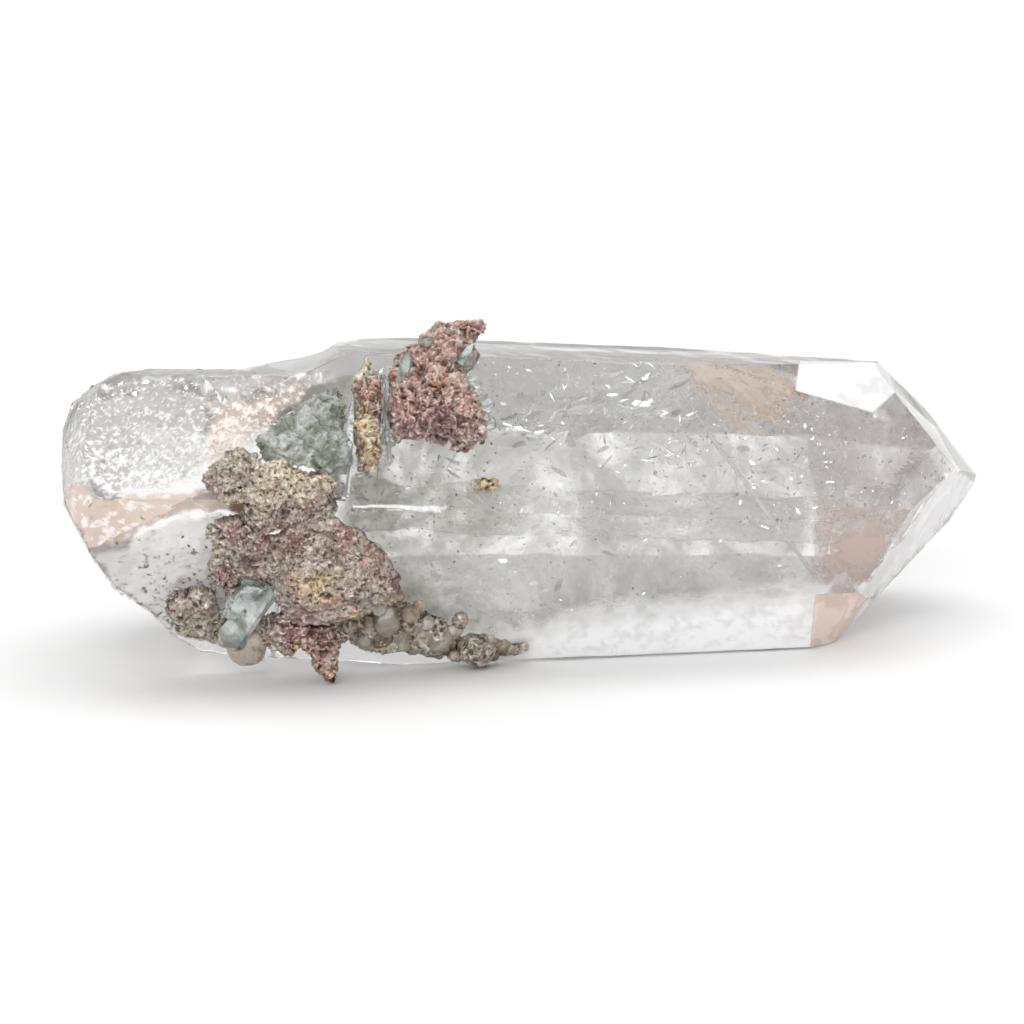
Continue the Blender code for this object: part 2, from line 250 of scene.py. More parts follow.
quartz_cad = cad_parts["quartz_crystal"]
corners, areas, normals = mesh_arrays(quartz_cad.data)


def measured_plane(guess):
    """The unit normal and distance of the largest flat face whose normal is near the guess."""
    guess = np.array(guess) / np.linalg.norm(guess)
    near = normals @ guess > 0.9995
    biggest = np.argmax(np.where(near, areas, 0))
    same = normals @ normals[biggest] > 0.99999
    same &= abs((corners.mean(1) - corners[biggest].mean(0)) @ normals[biggest]) < 0.02
    n = (normals[same] * areas[same, None]).sum(0)
    n /= np.linalg.norm(n)
    return n, float((corners[same].reshape(-1, 3) @ n).mean())


UPPER_FACE = measured_plane((0.057, -0.829, 0.557))
LOWER_FACE = measured_plane((-0.023, -0.899, -0.438))
print("upper face", np.round(UPPER_FACE[0], 3), round(UPPER_FACE[1], 2))
print("lower face", np.round(LOWER_FACE[0], 3), round(LOWER_FACE[1], 2))


# %% Helpers for meshes
BOX = np.array([list(corner) for corner in cad_box]) / MM


def fill_mesh(name, verts, faces):
    """A mesh from an array of points in mm and an array or list of faces."""
    mesh = bpy.data.meshes.new(name)
    mesh.from_pydata((np.asarray(verts, float) * MM).tolist(), [], np.asarray(faces).tolist()
                     if isinstance(faces, np.ndarray) else faces)
    mesh.validate()
    return mesh


def show_piece(name, mesh, material, smooth=True, sharp=None):
    """Links the mesh as a piece that rides with the crystal, and prints its size. What stands out of the
    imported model's box by a hair is pressed back onto it."""
    set_positions(mesh, np.clip(positions(mesh), BOX[0] + 0.01, BOX[1] - 0.01))
    piece = bpy.data.objects.new(name, mesh)
    bpy.context.scene.collection.objects.link(piece)
    mesh.materials.clear()
    mesh.materials.append(material)
    mesh.polygons.foreach_set("use_smooth", np.full(len(mesh.polygons), smooth))
    if sharp is not None:
        mesh.set_sharp_from_angle(angle=np.radians(sharp))
    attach(piece, "root")
    print(f"{name}: {len(mesh.vertices)} points, {len(mesh.polygons)} faces")
    return piece


def positions(mesh):
    """The mesh's points as an array in mm."""
    co = np.empty(len(mesh.vertices) * 3)
    mesh.vertices.foreach_get("co", co)
    return co.reshape(-1, 3) / MM


def set_positions(mesh, points):
    mesh.vertices.foreach_set("co", (np.asarray(points) * MM).ravel())
    mesh.update()


def point_normals(mesh):
    """The averaged normal at each point."""
    n = np.empty(len(mesh.vertices) * 3)
    mesh.vertices.foreach_get("normal", n)
    return n.reshape(-1, 3)


def store(mesh, name, values):
    """Keeps one number for each point, for the material to read."""
    layer = mesh.attributes.new(name, "FLOAT", "POINT")
    layer.data.foreach_set("value", np.asarray(values, np.float32))


# %% [markdown]
# ## Finishes
#
# A finish is a Principled shader with a few nodes in front of it. A short helper adds a node, sets its
# values and links it.


# %% Material helpers
class Finish:
    """A new material with short ways to add and link its nodes."""

    def __init__(self, name, **values):
        self.material = bpy.data.materials.new(name)
        self.material.use_nodes = True
        self.tree = self.material.node_tree
        self.shader = self.tree.nodes["Principled BSDF"]
        for key, value in values.items():
            self.shader.inputs[key.replace("_", " ")].default_value = value

    def node(self, kind, links=(), **values):
        """Adds a node; values are its settings, and links pairs an input with an output."""
        made = self.tree.nodes.new("ShaderNode" + kind)
        for key, value in values.items():
            setattr(made, key, value)
        for socket, source in links:
            self.put(made, socket, source)
        return made

    def put(self, made, socket, source):
        target = made.inputs[socket]
        if isinstance(source, bpy.types.NodeSocket):
            self.tree.links.new(source, target)
        else:
            target.default_value = source

    def place(self):
        return self.node("TexCoord").outputs["Object"]

    def noise(self, scale, detail=4.0, rough=0.55, vector=None, twist=0.0):
        n = self.node("TexNoise", [("Vector", vector or self.place()), ("Scale", scale), ("Detail", detail),
                                   ("Roughness", rough), ("Distortion", twist)])
        return n.outputs["Fac"]

    def ramp(self, source, stops):
        """Turns a number into a colour or grey by stops of (position, colour)."""
        r = self.node("ValToRGB", [(0, source)])
        band = r.color_ramp
        while len(band.elements) < len(stops):
            band.elements.new(0.5)
        for element, (where, colour) in zip(band.elements, stops):
            element.position = where
            element.color = (*colour, 1) if isinstance(colour, tuple) else (colour, colour, colour, 1)
        return r.outputs["Color"]

    def mix(self, amount, one, other, blend="MIX"):
        m = self.node("Mix", data_type="RGBA", blend_type=blend)
        for index, source in ((0, amount), (6, one), (7, other)):
            self.put(m, index, (*source, 1) if isinstance(source, tuple) else source)
        return m.outputs[2]

    def bump(self, height, strength, distance):
        b = self.node("Bump", [("Height", height), ("Strength", strength), ("Distance", distance)])
        self.tree.links.new(b.outputs[0], self.shader.inputs["Normal"])
        return b

    def attribute(self, name):
        return self.node("Attribute", attribute_name=name).outputs["Fac"]

    def link(self, source, socket):
        self.tree.links.new(source, self.shader.inputs[socket])


def absorb(finish, colour, density):
    """Fills a clear body with a faint tint: a volume that absorbs, and nothing else."""
    volume = finish.node("VolumeAbsorption", [("Color", (*colour, 1)), ("Density", density)])
    out = finish.tree.nodes["Material Output"]
    finish.tree.links.new(volume.outputs[0], out.inputs["Volume"])


# %% [markdown]
# ## The clear crystal
#
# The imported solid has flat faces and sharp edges. A copy of it is merged, its edges are worn by a hair,
# and it is cut into a fine net of small faces: along its length by planes across it, and around it by
# planes through its axis. The net's points are then moved by a few hundredths of a millimetre on the
# clean faces, and by much more on the etched base, so that the light bends and glitters as it does
# there. Cutting keeps the faces exactly flat, which a remesh doesn't.

# %% Net of the crystal
STEP_ALONG, STEPS_AROUND = 0.75, 84
AXIS_POINT, AXIS_TURN = np.array((0.0, 1.1, 16.6)), np.radians(2.37)

quartz_mesh = quartz_cad.data.copy()
bm = bmesh.new()
bm.from_mesh(quartz_mesh)
bmesh.ops.remove_doubles(bm, verts=bm.verts, dist=0.004 * MM)
bmesh.ops.dissolve_limit(bm, angle_limit=np.radians(0.6), verts=bm.verts, edges=bm.edges)
worn = [e for e in bm.edges if len(e.link_faces) == 2 and e.calc_face_angle(0) > np.radians(6)]
print("crystal edges:", len(worn), "faces:", len(bm.faces))
bmesh.ops.bevel(bm, geom=worn, offset=0.14 * MM, segments=2, profile=0.6, affect="EDGES", clamp_overlap=True)
low, high = (np.array(c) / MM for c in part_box("quartz_crystal"))
for x in np.arange(low[0] + 0.4, high[0], STEP_ALONG):
    bmesh.ops.bisect_plane(bm, geom=bm.verts[:] + bm.edges[:] + bm.faces[:], dist=1e-7,
                           plane_co=(x * MM, 0, 0), plane_no=(1, 0, 0))
for i in range(STEPS_AROUND):
    a = np.pi * (i + 0.37) / STEPS_AROUND
    normal = Vector((np.sin(AXIS_TURN) * np.sin(a), np.cos(a), np.cos(AXIS_TURN) * np.sin(a)))
    bmesh.ops.bisect_plane(bm, geom=bm.verts[:] + bm.edges[:] + bm.faces[:], dist=1e-7,
                           plane_co=Vector(AXIS_POINT) * MM, plane_no=normal)
bmesh.ops.triangulate(bm, faces=[f for f in bm.faces if len(f.verts) > 4])
open_edges = sum(1 for e in bm.edges if len(e.link_faces) != 2)
bm.to_mesh(quartz_mesh)
bm.free()
print("crystal net:", len(quartz_mesh.vertices), "points,", len(quartz_mesh.polygons), "faces, open edges", open_edges)

# %% [markdown]
# The base grew in a hurry and was etched later. Its skin is a field of small melted-looking humps with
# sharp valleys between them. The long faces only wave a little, with growth lines across the crystal.

# %% Skin of the crystal
points = positions(quartz_mesh)

# The broken shoulder and corner of the base, as heights in the picture: what stands above is worn down.
VIEW_RIGHT = np.cross(-BACKWARDS, (0, 0, 1))
VIEW_RIGHT /= np.linalg.norm(VIEW_RIGHT)
VIEW_UP = np.cross(VIEW_RIGHT, -BACKWARDS)
PER_MM = LENS / SENSOR * FRAME_SIDE


def in_picture(points):
    """The picture place (u, v) of each point, and how many mm one picture step is there."""
    away = points - EYE
    reach = away @ -BACKWARDS
    return 512 + PER_MM * (away @ VIEW_RIGHT) / reach, 512 - PER_MM * (away @ VIEW_UP) / reach, reach / PER_MM


LEFT_LINE = ((360, 92), (388, 90), (402, 71), (430, 62), (465, 60), (505, 63), (540, 75), (565, 95),
             (590, 115), (611, 150), (640, 172))
TOP_LINE = ((40, 403), (70, 403), (92, 387), (114, 373), (150, 368), (240, 369), (266, 363), (300, 358),
            (324, 351), (337, 342), (352, 338), (480, 336), (1000, 330))
FOOT_LINE = ((40, 505), (62, 508), (75, 540), (95, 566), (115, 590), (150, 611), (172, 636), (200, 653), (300, 660),
             (1000, 690))
u, v, scale = in_picture(points)
leftwards = np.maximum(np.interp(v, *np.array(LEFT_LINE, float).T) - u, 0)
points = points + VIEW_RIGHT * (leftwards * scale)[:, None]
u = u + leftwards
over = np.maximum(np.interp(u, *np.array(TOP_LINE, float).T) - v, 0)
under = np.maximum(v - np.interp(u, *np.array(FOOT_LINE, float).T), 0)
points = points + VIEW_UP * ((under - over) * scale)[:, None]
points[:, 2] = np.maximum(points[:, 2], 0.02)
set_positions(quartz_mesh, points)
out = point_normals(quartz_mesh)
base_side = 1 - eased(points[:, 0] + 0.35 * (points[:, 2] - 18), -31.5, -26.5)
humps, second, number = cells(points + 0.25 * layered_noise(points, 1.4, 5)[:, None], 1.15, 3)
etched = (0.5 - humps) * 0.32 + 0.10 * layered_noise(points, 0.9, 8)
wave = 0.035 * smooth_noise(points * (1.0, 0.25, 0.25), 1.6, 21) + 0.05 * layered_noise(points, 9.0, 31, 3)
inward = np.minimum(etched * base_side + wave * (1 - base_side) - 0.16 * base_side - 0.03, 0.0)
set_positions(quartz_mesh, points + out * inward[:, None])
store(quartz_mesh, "etched", base_side)

# %% Quartz finish
quartz = Finish("clear_quartz", Base_Color=(1, 1, 1, 1), Transmission_Weight=1.0, IOR=1.544, Roughness=0.02)
rough = quartz.ramp(quartz.attribute("etched"), [(0.0, 0.05), (1.0, 0.20)])
quartz.link(rough, "Roughness")
absorb(quartz, (0.91, 0.88, 0.87), 10.0)
crystal = show_piece("clear_crystal", quartz_mesh, quartz.material, sharp=22)
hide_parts("quartz_crystal")

# %% [markdown]
# ## Places on the two front faces
#
# A crust is a blanket of mineral on the crystal, so it is easiest to describe on the crystal's own
# skin: x along the crystal, s across it (0 on the front ridge, positive up the upper face, negative
# down the lower face) and h, the height above the skin.

# %% The skin as the eye sees it
CELL = 8.0
PER_PX = PER_MM / 465


def sight(u, v):
    """The unit direction of the line of sight through a place in the picture, counted from its top left."""
    per_side = LENS / SENSOR * FRAME_SIDE
    u, v = np.broadcast_arrays(np.asarray(u, float), np.asarray(v, float))
    ray = -BACKWARDS + VIEW_RIGHT * ((u - 512) / per_side)[..., None] + VIEW_UP * ((512 - v) / per_side)[..., None]
    return ray / np.linalg.norm(ray, axis=-1, keepdims=True)


def skin_map(mesh, passes=8):
    """How far from the eye the skin lies, on a grid over the picture: the mean over each cell's points that
    face the eye. An empty cell takes the mean of its filled neighbours, in several passes."""
    away = EYE - positions(mesh)
    far = np.linalg.norm(away, axis=1)
    seen = (away * point_normals(mesh)).sum(1) > 0.08 * far
    u, v, _ = in_picture(EYE - away[seen])
    side = int(FRAME_SIDE / CELL)
    total, count = np.zeros((2, side, side))
    place = (u / CELL).astype(int), (v / CELL).astype(int)
    np.add.at(total, place, far[seen])
    np.add.at(count, place, 1)
    reach = total / np.maximum(count, 1)
    for _ in range(passes):
        near, number = (sum(np.roll(grid, step, axis) for step in (-1, 1) for axis in (0, 1))
                        for grid in (reach, (reach > 0).astype(float)))
        reach = np.where(reach > 0, reach, near / np.maximum(number, 1))
    return reach


SKIN = skin_map(quartz_mesh)


def behind_skin(u, v, depth):
    """The point depth mm behind the skin that shows at (u, v), with the same answers as seen_inside. The
    sight line isn't bent, so it is for things close to the skin. A depth below 0 is in front of it."""
    i, j = np.floor(u / CELL - 0.5).astype(int), np.floor(v / CELL - 0.5).astype(int)
    a, b = u / CELL - 0.5 - i, v / CELL - 0.5 - j
    reach = ((SKIN[i, j] * (1 - a) + SKIN[i + 1, j] * a) * (1 - b)
             + (SKIN[i, j + 1] * (1 - a) + SKIN[i + 1, j + 1] * a) * b)
    return EYE + sight(u, v) * (reach + depth)[..., None], np.zeros(u.shape, int)


# %% [markdown]
# ## Coats on the base
#
# Frost, peach stain and dark specks lie on the etched base as thin coats. White coats on the foot, the
# front ridge and the crown's bevel facet are painted light. A coat copies the crystal's own faces within an
# outline in the picture, cuts them finer, roughens them and gives them a thickness.


# %% Coats
def inside_by(x, s, outline):
    """How far in mm a point lies inside a closed outline, negative outside: the distance to the nearest
    side, with its sign from how often a level line crosses the outline."""
    cx, cs = outline
    nearest = np.full(x.shape, 1e9)
    inside = np.zeros(x.shape, bool)
    for i in range(len(cx)):
        ax, as_, bx, bs = cx[i - 1], cs[i - 1], cx[i], cs[i]
        t = np.clip(((x - ax) * (bx - ax) + (s - as_) * (bs - as_)) / ((bx - ax) ** 2 + (bs - as_) ** 2), 0, 1)
        nearest = np.minimum(nearest, np.hypot(x - ax - t * (bx - ax), s - as_ - t * (bs - as_)))
        if bs != as_:
            inside ^= ((as_ > s) != (bs > s)) & (x < ax + (s - as_) * (bx - ax) / (bs - as_))
    return np.where(inside, nearest, -nearest)


def coat_finish(name, one, other, rough=0.35):
    """Goes from one colour to the other by the point's number tone, and hides as much as its cover says."""
    f = Finish(name, Roughness=rough)
    f.link(f.mix(f.attribute("tone"), one, other), "Base Color")
    f.link(f.attribute("cover"), "Alpha")
    return f.material


def coat(name, material, seen, cover, mottle, level=(-0.1, 0.4), rise=0.0, out=0.03, relief=0.05, cuts=3, seed=0,
         fade=8.0, ragged=5.0):
    """A closed shell just above the skin. Its tone is fine noise, mottle mm wide, eased between two levels
    and denser by rise towards the foot; cover goes from its first to its second number with the tone."""
    shape = np.array(seen, float).T
    faces = np.array([f.center[:] for f in quartz_mesh.polygons]) / MM
    facing = np.array([f.normal[:] for f in quartz_mesh.polygons])
    u, v, _ = in_picture(faces)
    keep = (inside_by(u, v, shape) > -4) & (((EYE - faces) * facing).sum(1) > 0)
    bm = bmesh.new()
    bm.from_mesh(quartz_mesh)
    bmesh.ops.delete(bm, geom=[f for f, kept in zip(bm.faces[:], keep) if not kept], context="FACES")
    bmesh.ops.subdivide_edges(bm, edges=bm.edges[:], cuts=cuts, use_grid_fill=True)
    mesh = bpy.data.meshes.new(name)
    bm.to_mesh(mesh)
    p, n = positions(mesh), point_normals(mesh)
    lump = layered_noise(p, mottle * 1.2, seed + 5, 3)
    set_positions(mesh, p + n * (out + relief * np.clip(lump + 0.4, 0, 1.4))[:, None])
    bm.free()
    p, n = positions(mesh), point_normals(mesh)
    rings = [list(f.vertices) for f in mesh.polygons]
    start = np.concatenate(rings)
    end = np.concatenate([ring[1:] + ring[:1] for ring in rings])
    rim = ~np.isin(start * len(p) + end, end * len(p) + start)
    walls = np.stack([end[rim], start[rim], start[rim] + len(p), end[rim] + len(p)], 1)
    under = [[i + len(p) for i in reversed(ring)] for ring in rings]
    mesh = fill_mesh(name, np.concatenate([p, p - 0.02 * n]), rings + under + walls.tolist())
    p = positions(mesh)
    u, v, _ = in_picture(p)
    down = (v - shape[1].min()) / np.ptp(shape[1])
    grain = p + 0.4 * mottle * np.stack([smooth_noise(p, mottle, seed + k) for k in (6, 7, 8)], -1)
    tone = eased(layered_noise(grain, mottle, seed + 9, 3, 0.7) + rise * (down - 0.5), *level)
    edge = inside_by(u + ragged * smooth_noise(p, 1.2, seed), v + ragged * smooth_noise(p, 1.2, seed + 4), shape)
    store(mesh, "tone", tone)
    store(mesh, "cover", (cover[0] + (cover[1] - cover[0]) * tone) * eased(edge, 0, fade))
    return show_piece(name, mesh, material)


frost = coat_finish("frost", (0.70, 0.66, 0.655), (1.0, 0.995, 0.99), 0.28)
peach_stain = coat_finish("peach_stain", (0.80, 0.66, 0.57), (0.97, 0.90, 0.86), 0.4)
window_stain = coat_finish("window_stain", (0.86, 0.68, 0.59), (0.93, 0.78, 0.70), 0.4)
rust_stain = coat_finish("rust_stain", (0.80, 0.56, 0.42), (0.62, 0.34, 0.20), 0.4)
grey_lobe = coat_finish("grey_lobe", (0.88, 0.85, 0.84), (0.24, 0.22, 0.17), 0.4)
# The white coats below on the foot, the front ridge and the crown's bevel facet are painted light: painted bounce light
# from the floor, a painted highlight and a painted reflection of the lamp.
white_face_and_painted_light = coat_finish("white_face_and_painted_light", (0.95, 0.94, 0.94), (1.0, 1.0, 1.0), 0.3)
coat("coat.frost", frost, [(66, 432), (84, 406), (120, 392), (190, 386), (212, 392), (208, 440), (206, 478), (160, 494),
                           (110, 498), (70, 480)], (0.45, 0.92), 0.30, (-0.02, 0.42), 0.7, seed=401)
coat("coat.frost_top", frost, [(92, 392), (110, 376), (200, 374), (214, 380), (180, 390), (110, 398)], (0.2, 0.9), 0.4,
     (0.15, 0.5), seed=402)
coat("coat.shoulder", frost, [(200, 378), (330, 362), (344, 380), (262, 396), (204, 396)], (0.30, 0.75), 0.9, (0.1, 0.7),
     seed=403)
coat("coat.patches", peach_stain, [(206, 400), (262, 392), (330, 372), (296, 404), (262, 436), (236, 464), (204, 478)],
     (0.30, 0.95), 0.5, (-0.1, 0.3), 0.4, seed=404)
coat("coat.ledge", peach_stain, [(60, 478), (100, 496), (200, 488), (292, 470), (296, 506), (240, 516), (186, 512),
                                 (150, 526), (116, 546), (86, 550), (68, 520)], (0.78, 0.95), 0.9, (0.1, 0.5), seed=405,
     fade=5.0)
coat("coat.ledge_spot", rust_stain, [(226, 496), (258, 498), (262, 514), (240, 518), (226, 512)], (0.6, 0.95), 0.6,
     out=0.12, seed=406, fade=6.0)
coat("coat.lobe", grey_lobe, [(86, 552), (118, 546), (152, 526), (190, 512), (250, 516), (332, 506), (326, 526), (262, 534), (238, 580), (232, 648),
                              (176, 640), (120, 596)], (0.5, 0.9), 0.5, (0.5, 0.66), 0.9, seed=407)
# Painted light: a white coat on the foot stands in for the floor's bounce light there.
coat("coat.foot", white_face_and_painted_light, [(440, 640), (560, 600), (700, 584), (800, 572), (850, 568), (838, 690), (440, 690)],
     (0.86, 1.0), 1.2, (-0.9, 0.2), 0.9, seed=410, fade=40.0, relief=0.02, cuts=2, ragged=5.0)
# Painted highlight: a thin white coat along the front ridge.
coat("coat.ridge", white_face_and_painted_light, [(352, 505), (441, 505), (443, 512), (352, 508)], (0.7, 1.0), 0.6, seed=412, fade=1.5,
     relief=0.0, cuts=4, ragged=1.2)
coat("coat.window", window_stain, [(815, 594), (858, 592), (870, 600), (834, 648), (810, 646)], (0.68, 0.84), 2.4, seed=411,
     fade=1.5, relief=0.0, cuts=3, ragged=0.0, out=0.07)
# Painted reflection: a white coat on the crown's bevel facet stands in for the lamp's reflection there.
coat("coat.bevel", white_face_and_painted_light, [(799, 360), (886, 362), (896, 392), (873, 413), (795, 391)], (0.92, 0.99), 2.0, seed=408,
     fade=1.5, relief=0.0, cuts=3, ragged=0.0)
coat("coat.tip_band", white_face_and_painted_light, [(952, 464), (978, 486), (872, 604), (856, 592), (900, 534)], (0.7, 0.88), 2.4,
     (-0.6, 0.8), seed=409, fade=3.0, relief=0.01, cuts=2)


# %% The folded map of the front
RIDGE = np.linalg.inv(np.array((UPPER_FACE[0], LOWER_FACE[0], (1.0, 0.0, 0.0))))
UP = np.cross(UPPER_FACE[0], (1, 0, 0))
UP *= np.sign(UP[2]) / np.linalg.norm(UP)
DOWN = np.cross(LOWER_FACE[0], (1, 0, 0))
DOWN *= -np.sign(DOWN[2]) / np.linalg.norm(DOWN)


def on_front(x, s, h):
    """The point above the front: the ridge point at x, plus s along the face, plus h along the normal,
    which turns from one face's normal to the other's within 2 mm of the ridge."""
    x, s, h = np.broadcast_arrays(x, s, h)
    ridge = np.stack([np.full(x.shape, UPPER_FACE[1]), np.full(x.shape, LOWER_FACE[1]), x], -1) @ RIDGE.T
    share = eased(s, -2.0, 2.0)[..., None]
    normal = UPPER_FACE[0] * share + LOWER_FACE[0] * (1 - share)
    normal = normal / np.linalg.norm(normal, axis=-1, keepdims=True)
    up, down = np.maximum(s, 0)[..., None], np.maximum(-s, 0)[..., None]
    return ridge + UP * up + DOWN * down + normal * h[..., None]


# %% [markdown]
# ## Crusts as blankets
#
# Each crust is a height worked out for every point of a grid on that map: some hills, and crumbly noise
# on them. Only the cells where the crust stands above the crystal are kept. A second layer just under
# the skin and a wall round the rim close the body.


# %% Relief pieces
def relief(name, material, x_range, s_range, step, height, root=0.35, slot=None):
    """A closed body over the cells where height(x, s) is above 0: its top, its underside at -root, and walls."""
    xs = np.arange(*x_range, step)
    ss = np.arange(*s_range, step)
    x, s = np.meshgrid(xs, ss, indexing="ij")
    h, extra = height(x, s)
    corner = h > 0.02
    cell = corner[:-1, :-1] & corner[1:, :-1] & corner[:-1, 1:] & corner[1:, 1:]
    top = on_front(x, s, np.maximum(h, 0.0)).reshape(-1, 3)
    bottom = on_front(x, s, np.full(x.shape, -root)).reshape(-1, 3)
    index = np.arange(x.size).reshape(x.shape)
    ring = [index[:-1, :-1], index[:-1, 1:], index[1:, 1:], index[1:, :-1]]
    quads = np.stack([r[cell] for r in ring], -1)
    faces = [quads, quads[:, ::-1] + x.size]
    around = np.pad(cell, 1)
    for side, (dx, ds) in enumerate(((-1, 0), (0, 1), (1, 0), (0, -1))):
        open_side = cell & ~around[1 + dx:around.shape[0] - 1 + dx, 1 + ds:around.shape[1] - 1 + ds]
        a, b = ring[side][open_side], ring[(side + 1) % 4][open_side]
        faces.append(np.stack([b, a, a + x.size, b + x.size], -1))
    faces = np.concatenate(faces)
    used, inverse = np.unique(faces, return_inverse=True)
    mesh = fill_mesh(name, np.concatenate([top, bottom])[used], inverse.reshape(faces.shape))
    both = np.concatenate([np.arange(x.size)] * 2)[used]
    extra |= mineral_and_shade_amounts(on_front(x, s, np.maximum(h, 0.0)))
    for key, value in extra.items():
        store(mesh, key, value.reshape(-1)[both])
    bm = bmesh.new()
    bm.from_mesh(mesh)
    volume = bm.calc_volume(signed=True)
    if volume < 0:
        bmesh.ops.reverse_faces(bm, faces=bm.faces)
        bm.to_mesh(mesh)
    bm.free()
    return show_piece(name, mesh, material)


def hills(x, s, rows):
    """The tallest of several hills: height times (1 - r squared), r being the distance from the centre
    in half widths, after the hill is turned by an angle in degrees."""
    tall = np.full(x.shape, -4.0)
    for cx, cs, rx, rs, high, turn in rows:
        c, k = np.cos(np.radians(turn)), np.sin(np.radians(turn))
        u = ((x - cx) * c + (s - cs) * k) / rx
        v = ((s - cs) * c - (x - cx) * k) / rs
        tall = np.maximum(tall, high * (1 - u * u - v * v))
    return tall


def crinkle(p, size, seed, layers=4):
    """Sharp crests like crumpled foil: 1 minus twice the size of smooth noise, in three sizes."""
    total, weight, whole = 0.0, 1.0, 0.0
    for i in range(layers):
        total = total + weight * (1 - 3.2 * np.abs(smooth_noise(p + 3.1 * i, size / 1.9 ** i, seed + i)))
        whole += weight
        weight *= 0.72
    return total / whole


# Turns a place so that noise read there is drawn out along one slanting direction.
STREAK = np.array(((0.62, -0.35, 0.25), (0.45, 1.1, 0.0), (-0.2, 0.1, 1.2)))


def crumbs(p, size, seed):
    """A broken mineral skin, about -0.6 to 0.6: broad lumps, crumbs and crinkles added up. Also how deep
    in the hollows a point lies, from 0 to 1, how high on the crests, and the number of its patch. The
    finishes paint shade by the first of these and a highlight by the second."""
    bent = p + 0.35 * size * np.stack([layered_noise(p, size, seed + k, 2) for k in (0, 40, 80)], -1)
    bent = bent @ STREAK
    first, second, number = cells(bent, size, seed)
    fine = 0.36 * (0.55 - first) + 0.42 * crinkle(bent, size * 0.62, seed + 9)
    height = 0.42 * layered_noise(p, size * 2.4, seed + 21, 2) + fine
    patch = 0.5 * number + 0.25 + 0.25 * smooth_noise(p, size * 3, seed + 31)
    return height, {"crack_shade": eased(-fine, 0.0, 0.34), "crest_highlight": eased(fine, 0.02, 0.26), "crumb": patch}


def flat_points(x, s):
    return np.stack([x, s, np.zeros_like(x)], -1)


# %% [markdown]
# ## Finish of the crusts
#
# The crusts are intergrown minerals, so all of them share one finish. Each point keeps how much there is
# of each mineral, how deep it lies in a crack and how high on a crest, and the finish reads these numbers:
# it paints shade into the cracks and a highlight onto the crests. Where the minerals are is given as round
# patches in the picture: (u, v, radius), and so are the deep pits that get painted shade.

# %% Minerals and the painted shade of deep pits, by place
MINERAL_AND_SHADE_PATCHES = {
    "olive": ((222, 462, 26), (245, 446, 20), (232, 492, 18), (200, 622, 34), (190, 650, 20), (440, 640, 40),
              (400, 655, 30), (375, 640, 22), (474, 656, 20), (503, 646, 16), (460, 622, 10)),
    "copper": ((428, 362, 34), (452, 348, 26), (470, 330, 20), (408, 402, 30), (440, 398, 34), (466, 404, 22),
               (318, 664, 24), (330, 682, 12), (296, 646, 14), (372, 560, 16), (345, 535, 14)),
    "wine": ((262, 548, 22), (234, 534, 15), (288, 536, 14), (222, 574, 14), (300, 626, 22), (326, 640, 14),
             (396, 584, 16), (432, 430, 34), (466, 428, 20), (306, 504, 12), (330, 604, 14)),
    "rust": ((373, 394, 17), (392, 380, 10), (330, 676, 10), (440, 385, 9)),
    "gold": ((318, 586, 25), (372, 452, 22), (392, 606, 12), (356, 616, 10), (486, 484, 18), (364, 424, 16),
             (300, 470, 12), (296, 650, 8), (345, 470, 12)),
    "cream": ((272, 482, 32), (300, 492, 18), (326, 482, 16), (366, 366, 16), (352, 376, 10)),
    # Not a mineral: these patches mark deep pits where the crust gets painted shade.
    "hollow_shade": ((440, 420, 13), (322, 654, 9), (300, 640, 7), (252, 512, 7), (246, 562, 9), (334, 505, 7), (268, 600, 8), (356, 600, 7), (420, 372, 7),
               (236, 478, 7), (286, 514, 6), (318, 470, 6)),
}


def mineral_and_shade_amounts(points):
    """How much of each mineral, and of the painted shade in the deep pits, is at each point, from 0 to 1:
    it fades out at its patches' ragged edges.
    """
    u, v, _ = in_picture(points)
    amounts = {}
    for seed, (name, patches) in enumerate(MINERAL_AND_SHADE_PATCHES.items()):
        ragged = 0.8 * layered_noise(points, 1.3, 300 + seed, 4, 0.7)
        near = np.max([1 - np.hypot(u - pu, v - pv) / r for pu, pv, r in patches], axis=0)
        amounts[name] = 0.85 * eased(near + 0.2 + ragged, 0.0, 0.9)
    return amounts


# %% Crust finish
crust = Finish("crust_skin", Metallic=0.4)
grains = crust.noise(1500.0, 3.0)
tone = crust.mix(crust.ramp(crust.attribute("crumb"), [(0.25, 0.0), (0.85, 0.9)]), (0.56, 0.49, 0.42), (0.26, 0.19, 0.165))
for name, light, dark in (("olive", (0.60, 0.57, 0.47), (0.17, 0.155, 0.10)),
                          ("copper", (0.74, 0.44, 0.36), (0.31, 0.13, 0.10)),
                          ("wine", (0.44, 0.20, 0.22), (0.15, 0.05, 0.06)),
                          ("rust", (0.58, 0.25, 0.15), (0.25, 0.07, 0.04)),
                          ("gold", (0.82, 0.64, 0.32), (0.38, 0.25, 0.11)),
                          ("cream", (0.97, 0.88, 0.68), (0.48, 0.38, 0.22))):
    pair = crust.mix(crust.ramp(grains, [(0.38, 0.0), (0.62, 1.0)]), dark, light)
    within = crust.ramp(crust.noise(850.0 + 60 * len(name), 3.0), [(0.36, 0.45), (0.56, 1.0)])
    tone = crust.mix(crust.mix(1.0, crust.attribute(name), within, "MULTIPLY"), tone, pair)
stain = crust.ramp(crust.noise(700.0, 3.0), [(0.56, 0.0), (0.66, 0.8)])
tone = crust.mix(stain, tone, (0.30, 0.17, 0.14))
# Painted highlight: the crests are lightened towards cream.
painted_highlight = crust.ramp(crust.attribute("crest_highlight"), [(0.35, 0.0), (1.0, 0.6)])
tone = crust.mix(painted_highlight, tone, (0.98, 0.90, 0.82))
